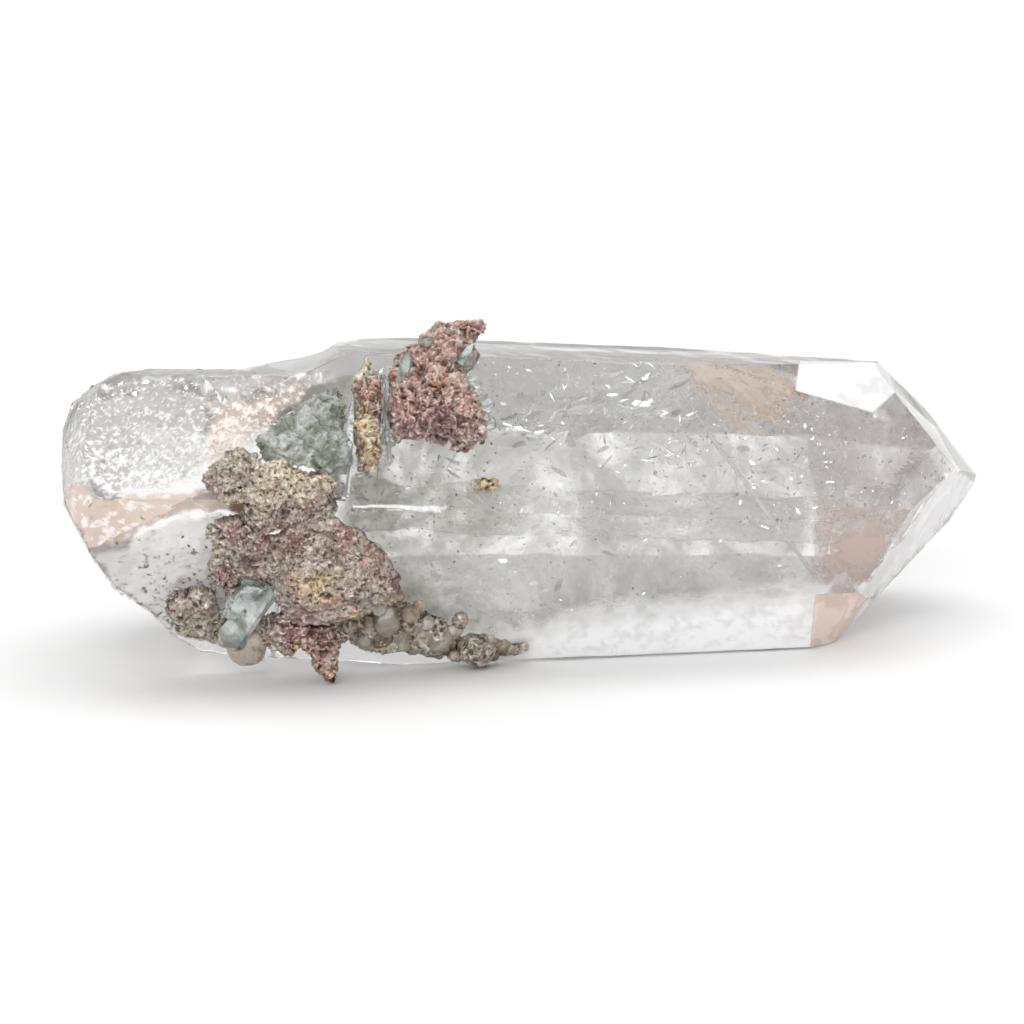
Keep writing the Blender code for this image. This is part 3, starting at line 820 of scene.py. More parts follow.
# Painted shade: the crust is darkened nearly to black in its cracks.
tone = crust.mix(crust.ramp(crust.attribute("crack_shade"), [(0.15, 0.0), (0.9, 0.9)]), tone, (0.06, 0.04, 0.035))
# Painted shade: the crust is darkened nearly to black in the listed deep pits.
tone = crust.mix(crust.ramp(crust.attribute("hollow_shade"), [(0.3, 0.0), (1.0, 0.85)]), tone, (0.04, 0.025, 0.025))
crust.link(tone, "Base Color")
crust.link(crust.ramp(grains, [(0.35, 0.12), (0.65, 0.48)]), "Roughness")
crust.bump(grains, 0.8, 0.00025)
crust_skin = crust.material

# %% [markdown]
# ## Outlines
#
# A blanket's outline is easiest to give as it is seen. Each corner is a place in the picture, and the
# line of sight through it is followed to the crystal's front face, which gives x and s there.


# %% From the picture to the crystal
def on_face(u, v, face):
    """Where the line of sight meets a face's plane."""
    ray = sight(u, v)
    return EYE + ray * ((face[1] - EYE @ face[0]) / (ray @ face[0]))[..., None]


def front_place(u, v):
    """x and s of the front skin under each place in the picture."""
    upper, lower = on_face(u, v, UPPER_FACE), on_face(u, v, LOWER_FACE)

    def ridge_at(x):
        return np.stack([np.full(x.shape, UPPER_FACE[1]), np.full(x.shape, LOWER_FACE[1]), x], -1) @ RIDGE.T

    high = ((upper - ridge_at(upper[..., 0])) @ UP)
    deep = ((lower - ridge_at(lower[..., 0])) @ DOWN)
    above = high > 0
    return np.where(above, upper[..., 0], lower[..., 0]), np.where(above, high, -deep)


def blanket(name, material, corners, thick, size, strength, seed, edge=1.6, ragged=0.5, step=0.13, slot=None, rise=()):
    """A crust over an outline in the picture: its thickness rises from the edge within edge mm, crumbs
    roughen it, and rise adds hills of its own in (picture u, v, half width, half width, height, turn)."""
    outline = front_place(*np.array(corners, float).T)
    bumps = [(*np.ravel(front_place(np.array([u]), np.array([v]))), ru, rv, h, t) for u, v, ru, rv, h, t in rise]

    def height(x, s):
        p = flat_points(x, s)
        reach = inside_by(x + ragged * layered_noise(p, 2.0, seed), s + ragged * layered_noise(p, 2.0, seed + 50),
                          outline)
        bumps_, numbers = crumbs(p, size, seed)
        body = thick * np.sqrt(np.clip(reach / edge, 0, 1))
        if bumps:
            body = body + np.maximum(hills(x, s, bumps), 0)
        lifted = body + strength * bumps_ * np.clip(reach / 0.5, 0, 1)
        return np.where(reach > 0, np.maximum(lifted, 0.06), -1), numbers

    margin = 1.5
    x_range = (outline[0].min() - margin, outline[0].max() + margin)
    s_range = (outline[1].min() - margin, outline[1].max() + margin)
    return relief(name, material, x_range, s_range, step, height, slot=slot, root=0.5)


# %% [markdown]
# ## The bodies of the crusts
#
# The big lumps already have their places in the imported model. A copy of each is remeshed finely and its
# skin is crumbled: every point moves along its normal by the crumbly noise.


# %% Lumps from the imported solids
def crumbled(node, material, voxel=0.135, size=1.3, strength=0.9, sink=0.15, seed=0, smooth=True, steps=0.0):
    """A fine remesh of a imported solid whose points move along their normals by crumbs(), to strength mm."""
    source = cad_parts[node]
    rough_copy = bpy.data.objects.new("rough_copy", source.data.copy())
    bpy.context.scene.collection.objects.link(rough_copy)
    bm = bmesh.new()
    bm.from_mesh(rough_copy.data)
    bmesh.ops.remove_doubles(bm, verts=bm.verts, dist=0.003 * MM)
    bm.to_mesh(rough_copy.data)
    bm.free()
    remesh = rough_copy.modifiers.new("remesh", "REMESH")
    remesh.mode, remesh.voxel_size = "VOXEL", voxel * MM
    graph = bpy.context.evaluated_depsgraph_get()
    mesh = bpy.data.meshes.new_from_object(rough_copy.evaluated_get(graph))
    bpy.data.objects.remove(rough_copy)
    mesh.name = node + "_skin"
    p, n = positions(mesh), point_normals(mesh)
    bend = 0.55 * layered_noise(p, 3.2, seed + 3, 2) + 0.35 * crinkle(p, 1.7, seed + 4, 2)
    height, numbers = crumbs(p, size, seed)
    height = height + steps * (eased(numbers["crumb"], 0.3, 0.7) - 0.5)
    moved = p + n * (strength * (height + bend) - sink)[:, None]
    set_positions(mesh, moved)
    for key, value in (numbers | mineral_and_shade_amounts(moved)).items():
        store(mesh, key, value)
    piece = show_piece("crust." + node, mesh, material, smooth)
    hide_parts(node)
    return piece


crumbled("copper_crust", crust_skin, size=0.85, strength=0.85, seed=11)
crumbled("gold_strip", crust_skin, size=0.6, strength=0.5, seed=12)
crumbled("golden_crust", crust_skin, size=0.62, strength=0.6, seed=13)
crumbled("wine_dome", crust_skin, size=0.62, strength=0.5, seed=14)
crumbled("wine_bridge", crust_skin, size=0.7, strength=0.7, sink=0.5, seed=15)
crumbled("tan_lens", crust_skin, size=0.6, strength=0.25, seed=16)
crumbled("spike_crust", crust_skin, size=0.8, strength=0.7, seed=17, steps=0.5)
crumbled("grain_crust", crust_skin, size=0.9, strength=0.55, seed=18)
crumbled("skirt_druse", crust_skin, size=0.8, strength=0.7, sink=0.6, seed=19)
crumbled("round_grain", crust_skin, size=0.8, strength=0.3, seed=20)
crumbled("upper_bead", crust_skin, voxel=0.12, size=0.9, strength=0.5, sink=0.05, seed=21, steps=0.8)
crumbled("lower_bead", crust_skin, voxel=0.12, size=0.7, strength=0.25, sink=0.05, seed=22)
crumbled("floor_grain", crust_skin, voxel=0.12, size=0.7, strength=0.35, sink=0.05, seed=23)

# %% [markdown]
# ## Blankets between the lumps
#
# On the real piece the crusts run into one another: the foil of gold grows out from under the green
# wedge, the wine-red dome sends an arm to the left, and brown grains trail off along the foot.

# %% Blankets
blanket("blanket.copper", crust_skin,
        [(386, 376), (396, 356), (418, 345), (446, 338), (472, 344), (476, 366), (470, 386), (482, 408), (480, 434),
         (452, 441), (424, 440), (396, 444), (388, 430)],
        1.6, 0.75, 0.75, 31, slot="copper_crust", rise=[(408, 412, 2.2, 2.6, 1.2, 20), (462, 424, 2.4, 1.6, 1.4, 0)])
blanket("blanket.gold_strip", crust_skin,
        [(351, 380), (365, 360), (378, 376), (380, 404), (378, 432), (387, 449), (373, 474), (361, 475), (354, 453),
         (353, 424), (351, 404)], 1.2, 0.6, 0.5, 32, slot="gold_strip")
blanket("blanket.foil", crust_skin,
        [(204, 480), (222, 462), (241, 450), (262, 464), (276, 461), (296, 470), (312, 478), (328, 468), (338, 480),
         (334, 503), (318, 514), (296, 506), (272, 506), (252, 500), (238, 488), (220, 490)],
        1.2, 0.62, 0.65, 33, slot="golden_crust", ragged=0.7)
blanket("blanket.wine", crust_skin,
        [(213, 523), (236, 516), (256, 530), (276, 534), (306, 518), (334, 516), (362, 532), (384, 556), (402, 580),
         (404, 600), (384, 612), (356, 616), (320, 618), (286, 610), (262, 590), (248, 578), (238, 592), (224, 606),
         (228, 584), (226, 562), (214, 556), (226, 542)], 1.1, 0.62, 0.6, 34, slot="wine_bridge", ragged=0.6)
blanket("blanket.seam", crust_skin, [(244, 504), (300, 502), (334, 498), (334, 522), (300, 526), (262, 536), (242, 524)],
        0.6, 0.35, 0.7, 37)
blanket("blanket.grains", crust_skin,
        [(352, 606), (376, 598), (410, 606), (446, 620), (462, 636), (470, 648), (440, 655), (400, 652), (372, 648),
         (350, 640), (300, 640), (270, 632), (290, 618), (330, 622)], 1.1, 0.8, 0.6, 35, slot="grain_crust")
blanket("blanket.skirt", crust_skin,
        [(166, 612), (186, 596), (204, 590), (222, 606), (228, 626), (232, 642), (214, 646), (196, 644), (176, 634)],
        0.9, 0.7, 0.7, 36, slot="skirt_druse", ragged=0.8)

# %% [markdown]
# ## Looking into the crystal
#
# What lies inside is seen through the crystal's faces, and each face bends the line of sight. The planes
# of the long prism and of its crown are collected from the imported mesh. For a place in the picture, the
# line of sight enters through the plane that it meets last, is bent there by Snell's law, and is
# followed to the wanted depth.

# %% Planes of the crown and prism
IOR = 1.544
ahead = corners.reshape(-1, 3)[corners.reshape(-1, 3)[:, 0] > -18]
keys = np.round(np.concatenate([normals, (corners.mean(1) * normals).sum(1)[:, None] / 20], 1), 2)
_, group = np.unique(keys, axis=0, return_inverse=True)
group = group.ravel()
planes = []
for g in np.unique(group):
    same = group == g
    if areas[same].sum() < 3:
        continue
    n = (normals[same] * areas[same, None]).sum(0)
    n /= np.linalg.norm(n)
    d = float((corners[same].mean(1) @ n).mean())
    if d - 0.3 < (ahead @ n).max() < d + 0.06:
        planes.append((*n, d))
planes = np.array(planes)
print("planes of the prism and crown:", len(planes))


def seen_inside(u, v, depth):
    """The point that shows at (u, v) and lies depth mm behind the face there, and the number of the face.
    Snell: the part of the ray along the face shrinks by the index, and the rest keeps its length at 1."""
    ray = sight(u, v)
    toward = ray @ planes[:, :3].T
    t = (planes[:, 3] - EYE @ planes[:, :3].T) / np.where(toward < -0.02, toward, np.nan)
    face = np.nanargmax(np.where(toward < -0.02, t, -np.inf), -1)
    n, reach = planes[face, :3], np.take_along_axis(t, face[..., None], -1)
    cosine = -(ray * n).sum(-1, keepdims=True)
    bent = ray / IOR + (cosine / IOR - np.sqrt(1 - (1 - cosine ** 2) / IOR ** 2)) * n
    deep = np.broadcast_to(depth, face.shape)[..., None] / -(bent * n).sum(-1, keepdims=True)
    return EYE + ray * reach + bent * deep, face


# %% [markdown]
# ## Veils
#
# A veil is a healed crack or a thin cloud that hangs in the quartz. It is made as a thin closed sheet
# with a wavy depth. Each of its points keeps a number, cover, which is noise that fades towards the
# outline, and the finish reads it as how much the veil hides. Several veils one behind the other give
# the milky light grey of the real crystal, and each alone gives wisps.


# %% Sheets on a picture grid
def sheet_faces(cell, count):
    """Faces of a closed sheet over the kept cells: the front, the back turned round, and the rim."""
    index = np.arange((cell.shape[0] + 1) * (cell.shape[1] + 1)).reshape(cell.shape[0] + 1, -1)
    ring = [index[:-1, :-1], index[:-1, 1:], index[1:, 1:], index[1:, :-1]]
    quads = np.stack([r[cell] for r in ring], -1)
    faces = [quads, quads[:, ::-1] + count]
    around = np.pad(cell, 1)
    for side, (dx, ds) in enumerate(((-1, 0), (0, 1), (1, 0), (0, -1))):
        bare = cell & ~around[1 + dx:around.shape[0] - 1 + dx, 1 + ds:around.shape[1] - 1 + ds]
        a, b = ring[side][bare], ring[(side + 1) % 4][bare]
        faces.append(np.stack([b, a, a + count, b + count], -1))
    faces = np.concatenate(faces)
    used, inverse = np.unique(faces, return_inverse=True)
    return used, inverse.reshape(faces.shape)


def veil(name, material, seen, depth, strength, wisp=40.0, low=-0.2, high=0.7, wave=1.0, step=5.0, seed=0,
         fade=22.0, wave_size=60.0, layers=4, lean=None, thin=0.05, ragged=9.0, tilt=0.0,
         place=seen_inside, keep=0.62):
    """A thin closed sheet over an outline in the picture. Depth and cover wave by layered noise. With lean,
    a slope, the wisps are drawn out along that direction in the picture."""
    shape = np.array(seen, float).T
    us = np.arange(shape[0].min(), shape[0].max() + step, step)
    vs = np.arange(shape[1].min(), shape[1].max() + step, step)
    u, v = np.meshgrid(us, vs, indexing="ij")
    flat = np.stack([u, v, np.full_like(u, seed * 13.0)], -1)
    reach = inside_by(u + ragged * smooth_noise(flat, 34, seed), v + ragged * smooth_noise(flat, 34, seed + 4), shape)
    deep = depth + wave * layered_noise(flat, wave_size, seed + 2, 3)
    deep = deep + tilt * (shape[1].max() - v) / PER_PX
    if place is seen_inside:
        deep = np.maximum(deep, 0.35)
    front, face = place(u, v, deep)
    back, _ = place(u, v, deep + thin)
    corner = (reach > 0) & (front[..., 2] > 0.6) & (front[..., 0] > -51)
    if place is seen_inside:
        corner &= (planes[:, 3] - front @ planes[:, :3].T).min(-1) > 0.25
    cell = corner[:-1, :-1] & corner[1:, :-1] & corner[:-1, 1:] & corner[1:, 1:]
    for other in (face[1:, :-1], face[:-1, 1:], face[1:, 1:]):
        cell &= face[:-1, :-1] == other
    used, faces = sheet_faces(cell, u.size)
    points = np.concatenate([front.reshape(-1, 3), back.reshape(-1, 3)])[used]
    mesh = fill_mesh(name, points, faces)
    grain = flat.copy()
    if lean is not None:
        c, k = 1 / np.hypot(1, lean), lean / np.hypot(1, lean)
        grain[..., 0], grain[..., 1] = (u * c + v * k) * 0.3, v * c - u * k
    bent = grain + 0.5 * wisp * np.stack([smooth_noise(grain, wisp * 1.3, seed + k) for k in (6, 7, 8)], -1)
    cover = strength * eased(layered_noise(bent, wisp, seed + 9, layers, keep), low, high) * eased(reach, 0, fade)
    store(mesh, "cover", np.tile(cover.ravel(), 2)[used])
    return show_piece(name, mesh, material)


def haze(name, colour, rough=0.9, metal=0.0):
    """A plain finish that hides as much as its cover says."""
    f = Finish(name, Base_Color=(*colour, 1), Roughness=rough, Metallic=metal)
    f.link(f.attribute("cover"), "Alpha")
    return f.material


milk = Finish("milky_veil", Roughness=0.9)
along = milk.node("SeparateXYZ", [(0, milk.place())]).outputs["X"]
along = milk.node("MapRange", [("Value", along), ("From Min", -20 * MM), ("From Max", 44 * MM)]).outputs[0]
milk.link(milk.ramp(along, [(0.0, (0.80, 0.80, 0.72)), (0.28, (0.93, 0.92, 0.88)), (0.45, (0.99, 0.975, 0.965)),
                            (0.72, (0.99, 0.95, 0.935)), (1.0, (0.97, 0.91, 0.89))]), "Base Color")
milk.link(milk.attribute("cover"), "Alpha")
milk = milk.material
# Bright milk for the phantom edge, and for the foot, where its white is painted bounce light.
bright_milk_and_painted_bounce = haze("bright_milk_and_painted_bounce", (1.0, 0.985, 0.975))
peach_cloud = haze("peach_cloud", (1.0, 0.87, 0.77))
rust_cloud = haze("rust_cloud", (1.0, 0.82, 0.75))

# %% Veils of this crystal
BODY = [(352, 372), (480, 352), (640, 352), (800, 362), (884, 370), (936, 424), (970, 478), (930, 540), (866, 606),
        (832, 644), (530, 652), (400, 640), (340, 560), (330, 460)]
LEFT = [(72, 400), (110, 380), (260, 374), (345, 350), (380, 372), (352, 480), (350, 600), (300, 650), (200, 642),
        (120, 590), (70, 500)]
veil("veil.body", milk, BODY, 1.6, 0.84, 60, -0.9, 0.9, 1.6, 3, 61, fade=30, layers=6, tilt=0.35, keep=0.75)
veil("veil.phantom_edge", bright_milk_and_painted_bounce, [(653, 358), (658, 357), (758, 493), (829, 588), (824, 592), (752, 497)], 2.2,
     0.85, 20, -1.2, 0.3, 0.1, 1.5, 80, fade=2, ragged=1.5)
# Painted light: a bright veil in the foot stands in for the floor's bounce light there.
veil("veil.foot", bright_milk_and_painted_bounce, [(470, 606), (560, 598), (700, 592), (815, 580), (826, 647), (530, 657)], 1.5, 0.75, 15,
     -0.45, 0.55, 0.6, 2.5, 68, fade=12, layers=4)
veil("veil.peach_feathers", peach_cloud, [(676, 357), (730, 358), (802, 368), (816, 392), (784, 412), (772, 436),
                                          (742, 440), (706, 414), (686, 388)], 0.9, 0.95, 13, -0.55, 0.4, 0.5, 1.8,
     69, fade=12, wave_size=30, lean=0.9)
veil("veil.rust_patch", rust_cloud, [(814, 496), (920, 500), (926, 536), (886, 578), (858, 606), (814, 600)],
     0.8, 0.95, 16, -0.9, 0.4, 0.5, 2.0, 70, fade=24)

# %% [markdown]
# ## Glassy green, clear and brown minerals
#
# Between the metal-like crusts stand small crystals that let light through: a green wedge full of
# chlorite, clear blades, a grey-green prism and round brown grains.


# %% Glassy finishes
def glassy(name, pale, deep, through=0.5, rough=0.12, size=1.0, index=1.5):
    """Clear patches and coloured patches by noise, a painted white highlight on the crests, painted shade
    in the cracks, a wet gloss, and fine bumps.
    """
    f = Finish(name, Transmission_Weight=through, IOR=index, Roughness=rough)
    cloud = f.ramp(f.noise(330.0 / size, 5.0, 0.6, twist=0.8), [(0.40, deep), (0.5, tuple(0.4 * a + 0.6 * b for a, b in
                                                               zip(pale, deep))), (0.60, pale)])
    # Painted highlight: the crests are lightened towards white.
    cloud = f.mix(f.ramp(f.attribute("crest_highlight"), [(0.5, 0.0), (1.0, 0.7)]), cloud, (1.0, 1.0, 1.0))
    # Painted shade: the cracks are darkened towards half the deep colour.
    f.link(f.mix(f.ramp(f.attribute("crack_shade"), [(0.2, 0.0), (1.0, 0.8)]), cloud, tuple(0.5 * c for c in deep)),
           "Base Color")
    f.bump(f.noise(900.0 / size, 3.0), 0.5, 0.0003)
    return f.material


green_glass = glassy("green_chlorite_quartz", (0.98, 0.99, 0.97), (0.34, 0.40, 0.30), 0.6, 0.05)
grey_green = glassy("grey_green_prism", (0.88, 0.92, 0.89), (0.26, 0.32, 0.29), 0.35, 0.12)
clear_glass = glassy("clear_blade_quartz", (0.97, 0.98, 0.98), (0.80, 0.84, 0.85), 0.85, 0.04)
brown_glass = glassy("brown_grain_glass", (0.60, 0.50, 0.38), (0.17, 0.115, 0.065), 0.35, 0.07)
pale_glass = glassy("pale_grain_glass", (0.88, 0.84, 0.78), (0.46, 0.40, 0.31), 0.5, 0.07)

crumbled("chlorite_wedge", green_glass, size=1.3, strength=0.75, sink=0.05, seed=24, steps=0.9)
crumbled("green_shard", grey_green, size=1.5, strength=0.35, sink=0.02, seed=25, steps=0.8)
crumbled("clear_blade", clear_glass, voxel=0.12, size=1.8, strength=0.2, sink=0.0, seed=26)


# %% Blades and grains
def lifted(u, v, h):
    """The point h mm above the front skin under a place in the picture."""
    x, s_ = front_place(np.array([float(u)]), np.array([float(v)]))
    return on_front(x, s_, np.array([float(h)]))[0]


def blade(start, end, wide, thick, sides=6, stations=9, tip=0.3, seed=0):
    """A small prism from start to end: a ring of sides carried along a straight path. It narrows over
    the last part, tip, and every ring is pushed a little out of true."""
    a, b = lifted(*start), lifted(*end)
    along = (b - a) / np.linalg.norm(b - a)
    outward = -UPPER_FACE[0] * 0 + np.array((0.0, -1.0, 0.15))
    across = np.cross(along, outward)
    across /= np.linalg.norm(across)
    up = np.cross(across, along)
    t = np.linspace(0, 1, stations)[:, None]
    angle = (np.arange(sides) + 0.5 * (seed % 2))[None, :] * 2 * np.pi / sides
    width = np.clip((1 - t) / tip, 0.04, 1) * (0.82 + 0.18 * np.sin(2.4 * t + seed))
    r = 1 + 0.12 * np.sin(angle * 2 + seed) + 0 * t
    ring = (a + (b - a) * t[..., None] + across * (np.cos(angle) * width * r * wide / 2)[..., None]
            + up * (np.sin(angle) * width * r * thick / 2)[..., None])
    ring = ring + 0.035 * wide * np.stack([smooth_noise(ring, wide, seed + k) for k in (1, 2, 3)], -1)
    return tube_faces(ring)


def tube_faces(ring):
    """Points and faces of a closed tube of rings, with a point at each end."""
    rows, around = ring.shape[:2]
    index = np.arange(rows * around).reshape(rows, around)
    a, b = index[:-1], index[1:]
    quads = np.stack([a, np.roll(a, -1, 1), np.roll(b, -1, 1), b], -1).reshape(-1, 4)
    count = rows * around
    first, last = index[0], index[-1]
    caps = [np.stack([np.roll(first, -1), first, np.full(around, count), ], -1),
            np.stack([last, np.roll(last, -1), np.full(around, count + 1)], -1)]
    points = np.concatenate([ring.reshape(-1, 3), ring[0].mean(0)[None], ring[-1].mean(0)[None]])
    return points, quads.tolist() + caps[0].tolist() + caps[1].tolist()


def grain(u, v, h, radius, flat=0.8, seed=0, rough=0.28):
    """A rounded grain: a sphere given by two angles, flattened against the skin and dented by noise."""
    rows, around = 15, 24
    polar = np.linspace(0.08, np.pi - 0.08, rows)[:, None]
    turn = np.linspace(0, 2 * np.pi, around, endpoint=False)[None, :]
    ball = np.stack([np.sin(polar) * np.cos(turn), np.sin(polar) * np.sin(turn), np.cos(polar) + 0 * turn], -1)
    face = UPPER_FACE[0] if front_place(np.array([u]), np.array([v]))[1][0] > 0 else LOWER_FACE[0]
    away = ball @ face
    ball = ball - face * (away * (1 - flat))[..., None]
    dents = layered_noise(ball * 1.0 + seed * 5.1, 0.9, seed, 3)
    return tube_faces(lifted(u, v, h) + ball * (radius * (1 + rough * dents))[..., None])


def cluster(name, material, bodies, smooth=True, sharp=40):
    """Many small closed bodies as one piece, turned right side out."""
    points, faces = [], []
    for body_points, body_faces in bodies:
        start = sum(len(p) for p in points)
        points.append(body_points)
        faces += [[i + start for i in f] for f in body_faces]
    mesh = fill_mesh(name, np.concatenate(points), faces)
    bm = bmesh.new()
    bm.from_mesh(mesh)
    bmesh.ops.recalc_face_normals(bm, faces=bm.faces)
    if bm.calc_volume(signed=True) < 0:
        bmesh.ops.reverse_faces(bm, faces=bm.faces)
    bm.to_mesh(mesh)
    bm.free()
    store(mesh, "crack_shade", np.zeros(len(mesh.vertices)))
    return show_piece(name, mesh, material, smooth, sharp)


cluster("crystals.clear_blades", clear_glass, [
    blade((338, 500, 0.5), (350, 400, 1.5), 1.5, 1.1, seed=1),
    blade((330, 498, 0.4), (341, 430, 1.1), 0.9, 0.8, seed=2),
    blade((345, 498, 0.4), (352, 440, 1.0), 0.9, 0.7, seed=3),
    blade((383, 446, 0.4), (384, 376, 1.8), 0.85, 0.7, seed=4),
    blade((322, 486, 0.4), (336, 452, 1.3), 1.1, 0.9, seed=5)], sharp=20)
cluster("crystals.beside_copper", clear_glass, [
    grain(463, 367, 2.0, 1.0, 0.9, 3, 0.22), grain(470, 390, 1.5, 0.95, 0.9, 4, 0.2),
    grain(483, 408, 0.6, 1.2, 0.6, 5, 0.2), grain(486, 424, 0.4, 0.9, 0.6, 6, 0.2),
    grain(424, 352, 2.2, 0.7, 0.9, 7, 0.25), grain(478, 400, 0.9, 0.8, 0.7, 8, 0.2)])
cluster("crystals.grey_shards", grey_green, [
    blade((398, 392, 1.8), (403, 364, 3.4), 1.5, 1.2, sides=5, seed=6),
    blade((393, 398, 1.6), (404, 376, 3.0), 1.1, 1.0, sides=5, seed=7),
    blade((414, 430, 1.6), (420, 414, 2.8), 0.9, 0.9, sides=5, seed=8),
    blade((455, 372, 2.2), (467, 356, 3.4), 1.2, 1.0, sides=5, seed=9)], sharp=20)
cluster("crystals.prism", grey_green, [blade((270, 578, 0.8), (222, 634, 2.4), 4.6, 2.4, tip=0.12, seed=10)], sharp=20)
cluster("crystals.lens", crust_skin, [grain(246, 640, 1.3, 2.3, 0.5, 41, 0.12)])
cluster("grains.pale", pale_glass, [
    grain(385, 612, 1.6, 1.6, 0.8, 11), grain(437, 632, 1.3, 1.4, 0.85, 12), grain(452, 627, 0.8, 0.9, 0.8, 13),
    grain(376, 597, 1.9, 0.8, 0.9, 14), grain(398, 634, 1.2, 1.3, 0.8, 15), grain(412, 640, 1.0, 1.1, 0.8, 16),
    grain(426, 618, 1.0, 0.9, 0.8, 17), grain(364, 634, 1.3, 1.0, 0.8, 18)])
rng = np.random.default_rng(12)
small = [grain(u, 618 + 0.24 * (u - 356) + rng.normal(0, 7), rng.uniform(0.3, 1.5), rng.uniform(0.3, 0.75), 0.85, i, 0.35)
         for i, u in enumerate(rng.uniform(352, 500, 34))]
cluster("grains.small", pale_glass, small[::2])
cluster("grains.small_brown", brown_glass, small[1::2])
cluster("grains.brown", brown_glass, [
    grain(408, 607, 1.4, 1.1, 0.8, 21), grain(418, 600, 1.0, 0.7, 0.8, 22), grain(445, 640, 1.0, 1.0, 0.8, 23),
    grain(380, 630, 1.5, 1.2, 0.8, 24), grain(503, 645, 0.5, 0.9, 0.7, 25), grain(516, 647, 0.4, 0.7, 0.7, 26),
    grain(496, 640, 0.5, 0.6, 0.8, 27), grain(366, 611, 1.8, 0.7, 0.8, 28), grain(461, 617, 0.6, 0.8, 0.9, 29)])

# %% [markdown]
# ## Flakes, sparks and specks
#
# Hundreds of tiny things float in the quartz: dark grains of the crust's minerals, white flecks, and
# flat cracks that mirror the light. Each is a flat stone of eight faces, so hundreds of them stay light.


# %% Strewn flakes
def strewn(name, material, seen, count, size, depth, flat=0.35, seed=0, stretch=1.0, facing=None, place=seen_inside):
    """count stones inside an outline in the picture, at chance places and depths, turned by chance. Each is
    two points and a ring of four, with half widths from size, times stretch one way and flat another."""
    rng = np.random.default_rng(seed)
    shape = np.array(seen, float).T
    u = rng.uniform(shape[0].min(), shape[0].max(), count * 6)
    v = rng.uniform(shape[1].min(), shape[1].max(), count * 6)
    keep = inside_by(u, v, shape) > 0
    u, v = u[keep][:count], v[keep][:count]
    deep = depth[0] + (depth[1] - depth[0]) * rng.uniform(0, 1, len(u)) ** 1.6
    centre, _ = place(u, v, deep)
    fits = (centre[:, 2] > 0.8) & (centre[:, 0] > -50.5)
    if place is seen_inside:
        fits &= (planes[:, 3] - centre @ planes[:, :3].T).min(-1) > size[1] * 1.2
    centre = centre[fits]
    n = len(centre)
    three = rng.normal(size=(n, 3)) if facing is None else facing + 0.3 * rng.normal(size=(n, 3))
    three /= np.linalg.norm(three, axis=1, keepdims=True)
    one = np.cross(three, rng.normal(size=(n, 3)))
    one /= np.linalg.norm(one, axis=1, keepdims=True)
    two = np.cross(three, one)
    r = size[0] + (size[1] - size[0]) * rng.uniform(0, 1, n) ** 2.2
    one, two, three = (axis * (r * k)[:, None] for axis, k in ((one, stretch), (two, 1.0), (three, flat)))
    points = np.stack([centre + one, centre + two, centre - one, centre - two, centre + three, centre - three], 1)
    if place is seen_inside:
        points = points[(planes[:, 3] - points @ planes[:, :3].T).min((1, 2)) > 0.02]
    base = np.arange(len(points))[:, None, None] * 6
    faces = base + np.array([(0, 1, 4), (1, 2, 4), (2, 3, 4), (3, 0, 4), (1, 0, 5), (2, 1, 5), (3, 2, 5), (0, 3, 5)])
    mesh = fill_mesh(name, points.reshape(-1, 3), faces.reshape(-1, 3))
    return show_piece(name, mesh, material, smooth=False)


# Flakes that face halfway between the eye and the lamp overhead send its light to the eye.
GLEAM = BACKWARDS + np.array((0.0, 0.1, 0.95))
GLEAM /= np.linalg.norm(GLEAM)
dark_speck = Finish("dark_speck", Base_Color=(0.12, 0.10, 0.07, 1), Roughness=0.6).material
white_fleck = Finish("white_fleck", Base_Color=(0.95, 0.94, 0.92, 1), Roughness=0.7).material
mirror_flake = Finish("mirror_flake", Base_Color=(0.97, 0.97, 0.96, 1), Roughness=0.12, Metallic=1.0).material
peach_fleck = Finish("peach_fleck", Base_Color=(0.98, 0.83, 0.72, 1), Roughness=0.6).material
green_fleck = Finish("green_fleck", Base_Color=(0.22, 0.24, 0.15, 1), Roughness=0.6).material

strewn("flecks.dark", dark_speck, BODY, 260, (0.05, 0.17), (0.4, 9.0), 0.5, 91)
strewn("flecks.white", white_fleck, BODY, 1400, (0.03, 0.15), (0.4, 3.5), 0.3, 92, 2.2)
strewn("flecks.mirror", mirror_flake, BODY, 200, (0.05, 0.28), (0.4, 8.0), 0.06, 93, 1.7, GLEAM)
strewn("sparks.body", mirror_flake, BODY, 520, (0.04, 0.20), (0.3, 5.0), 0.15, 81, 2.6, GLEAM)
strewn("sparks.fan", mirror_flake, [(500, 436), (560, 380), (640, 352), (700, 420), (752, 492), (690, 470), (600, 452)], 240,
       (0.03, 0.17), (0.4, 4.0), 0.15, 82, 5.0, GLEAM)
strewn("sparks.foot", mirror_flake, [(500, 612), (700, 600), (812, 590), (826, 645), (530, 652)], 420, (0.05, 0.26),
       (0.3, 2.0), 0.3, 83, 1.6, GLEAM)
strewn("sparks.base", mirror_flake, [(70, 404), (115, 384), (240, 382), (330, 372), (250, 440), (204, 486), (100, 492)], 1100,
       (0.05, 0.24), (0.3, 0.8), 0.15, 84, 2.0, GLEAM, behind_skin)
strewn("sparks.crown", mirror_flake, [(690, 370), (800, 372), (930, 430), (960, 480), (870, 590), (830, 580), (760, 500)], 420,
       (0.04, 0.20), (0.3, 3.0), 0.15, 85, 2.4, GLEAM)
strewn("flecks.foot", white_fleck, [(500, 602), (700, 592), (812, 590), (826, 645), (530, 652)], 700, (0.05, 0.26),
       (0.4, 4.0), 0.3, 94, 1.6)
strewn("flecks.peach", peach_fleck, [(684, 366), (740, 362), (800, 374), (810, 396), (774, 424), (742, 424),
                                     (710, 404)], 420, (0.05, 0.24), (0.4, 2.5), 0.2, 95, 2.4)
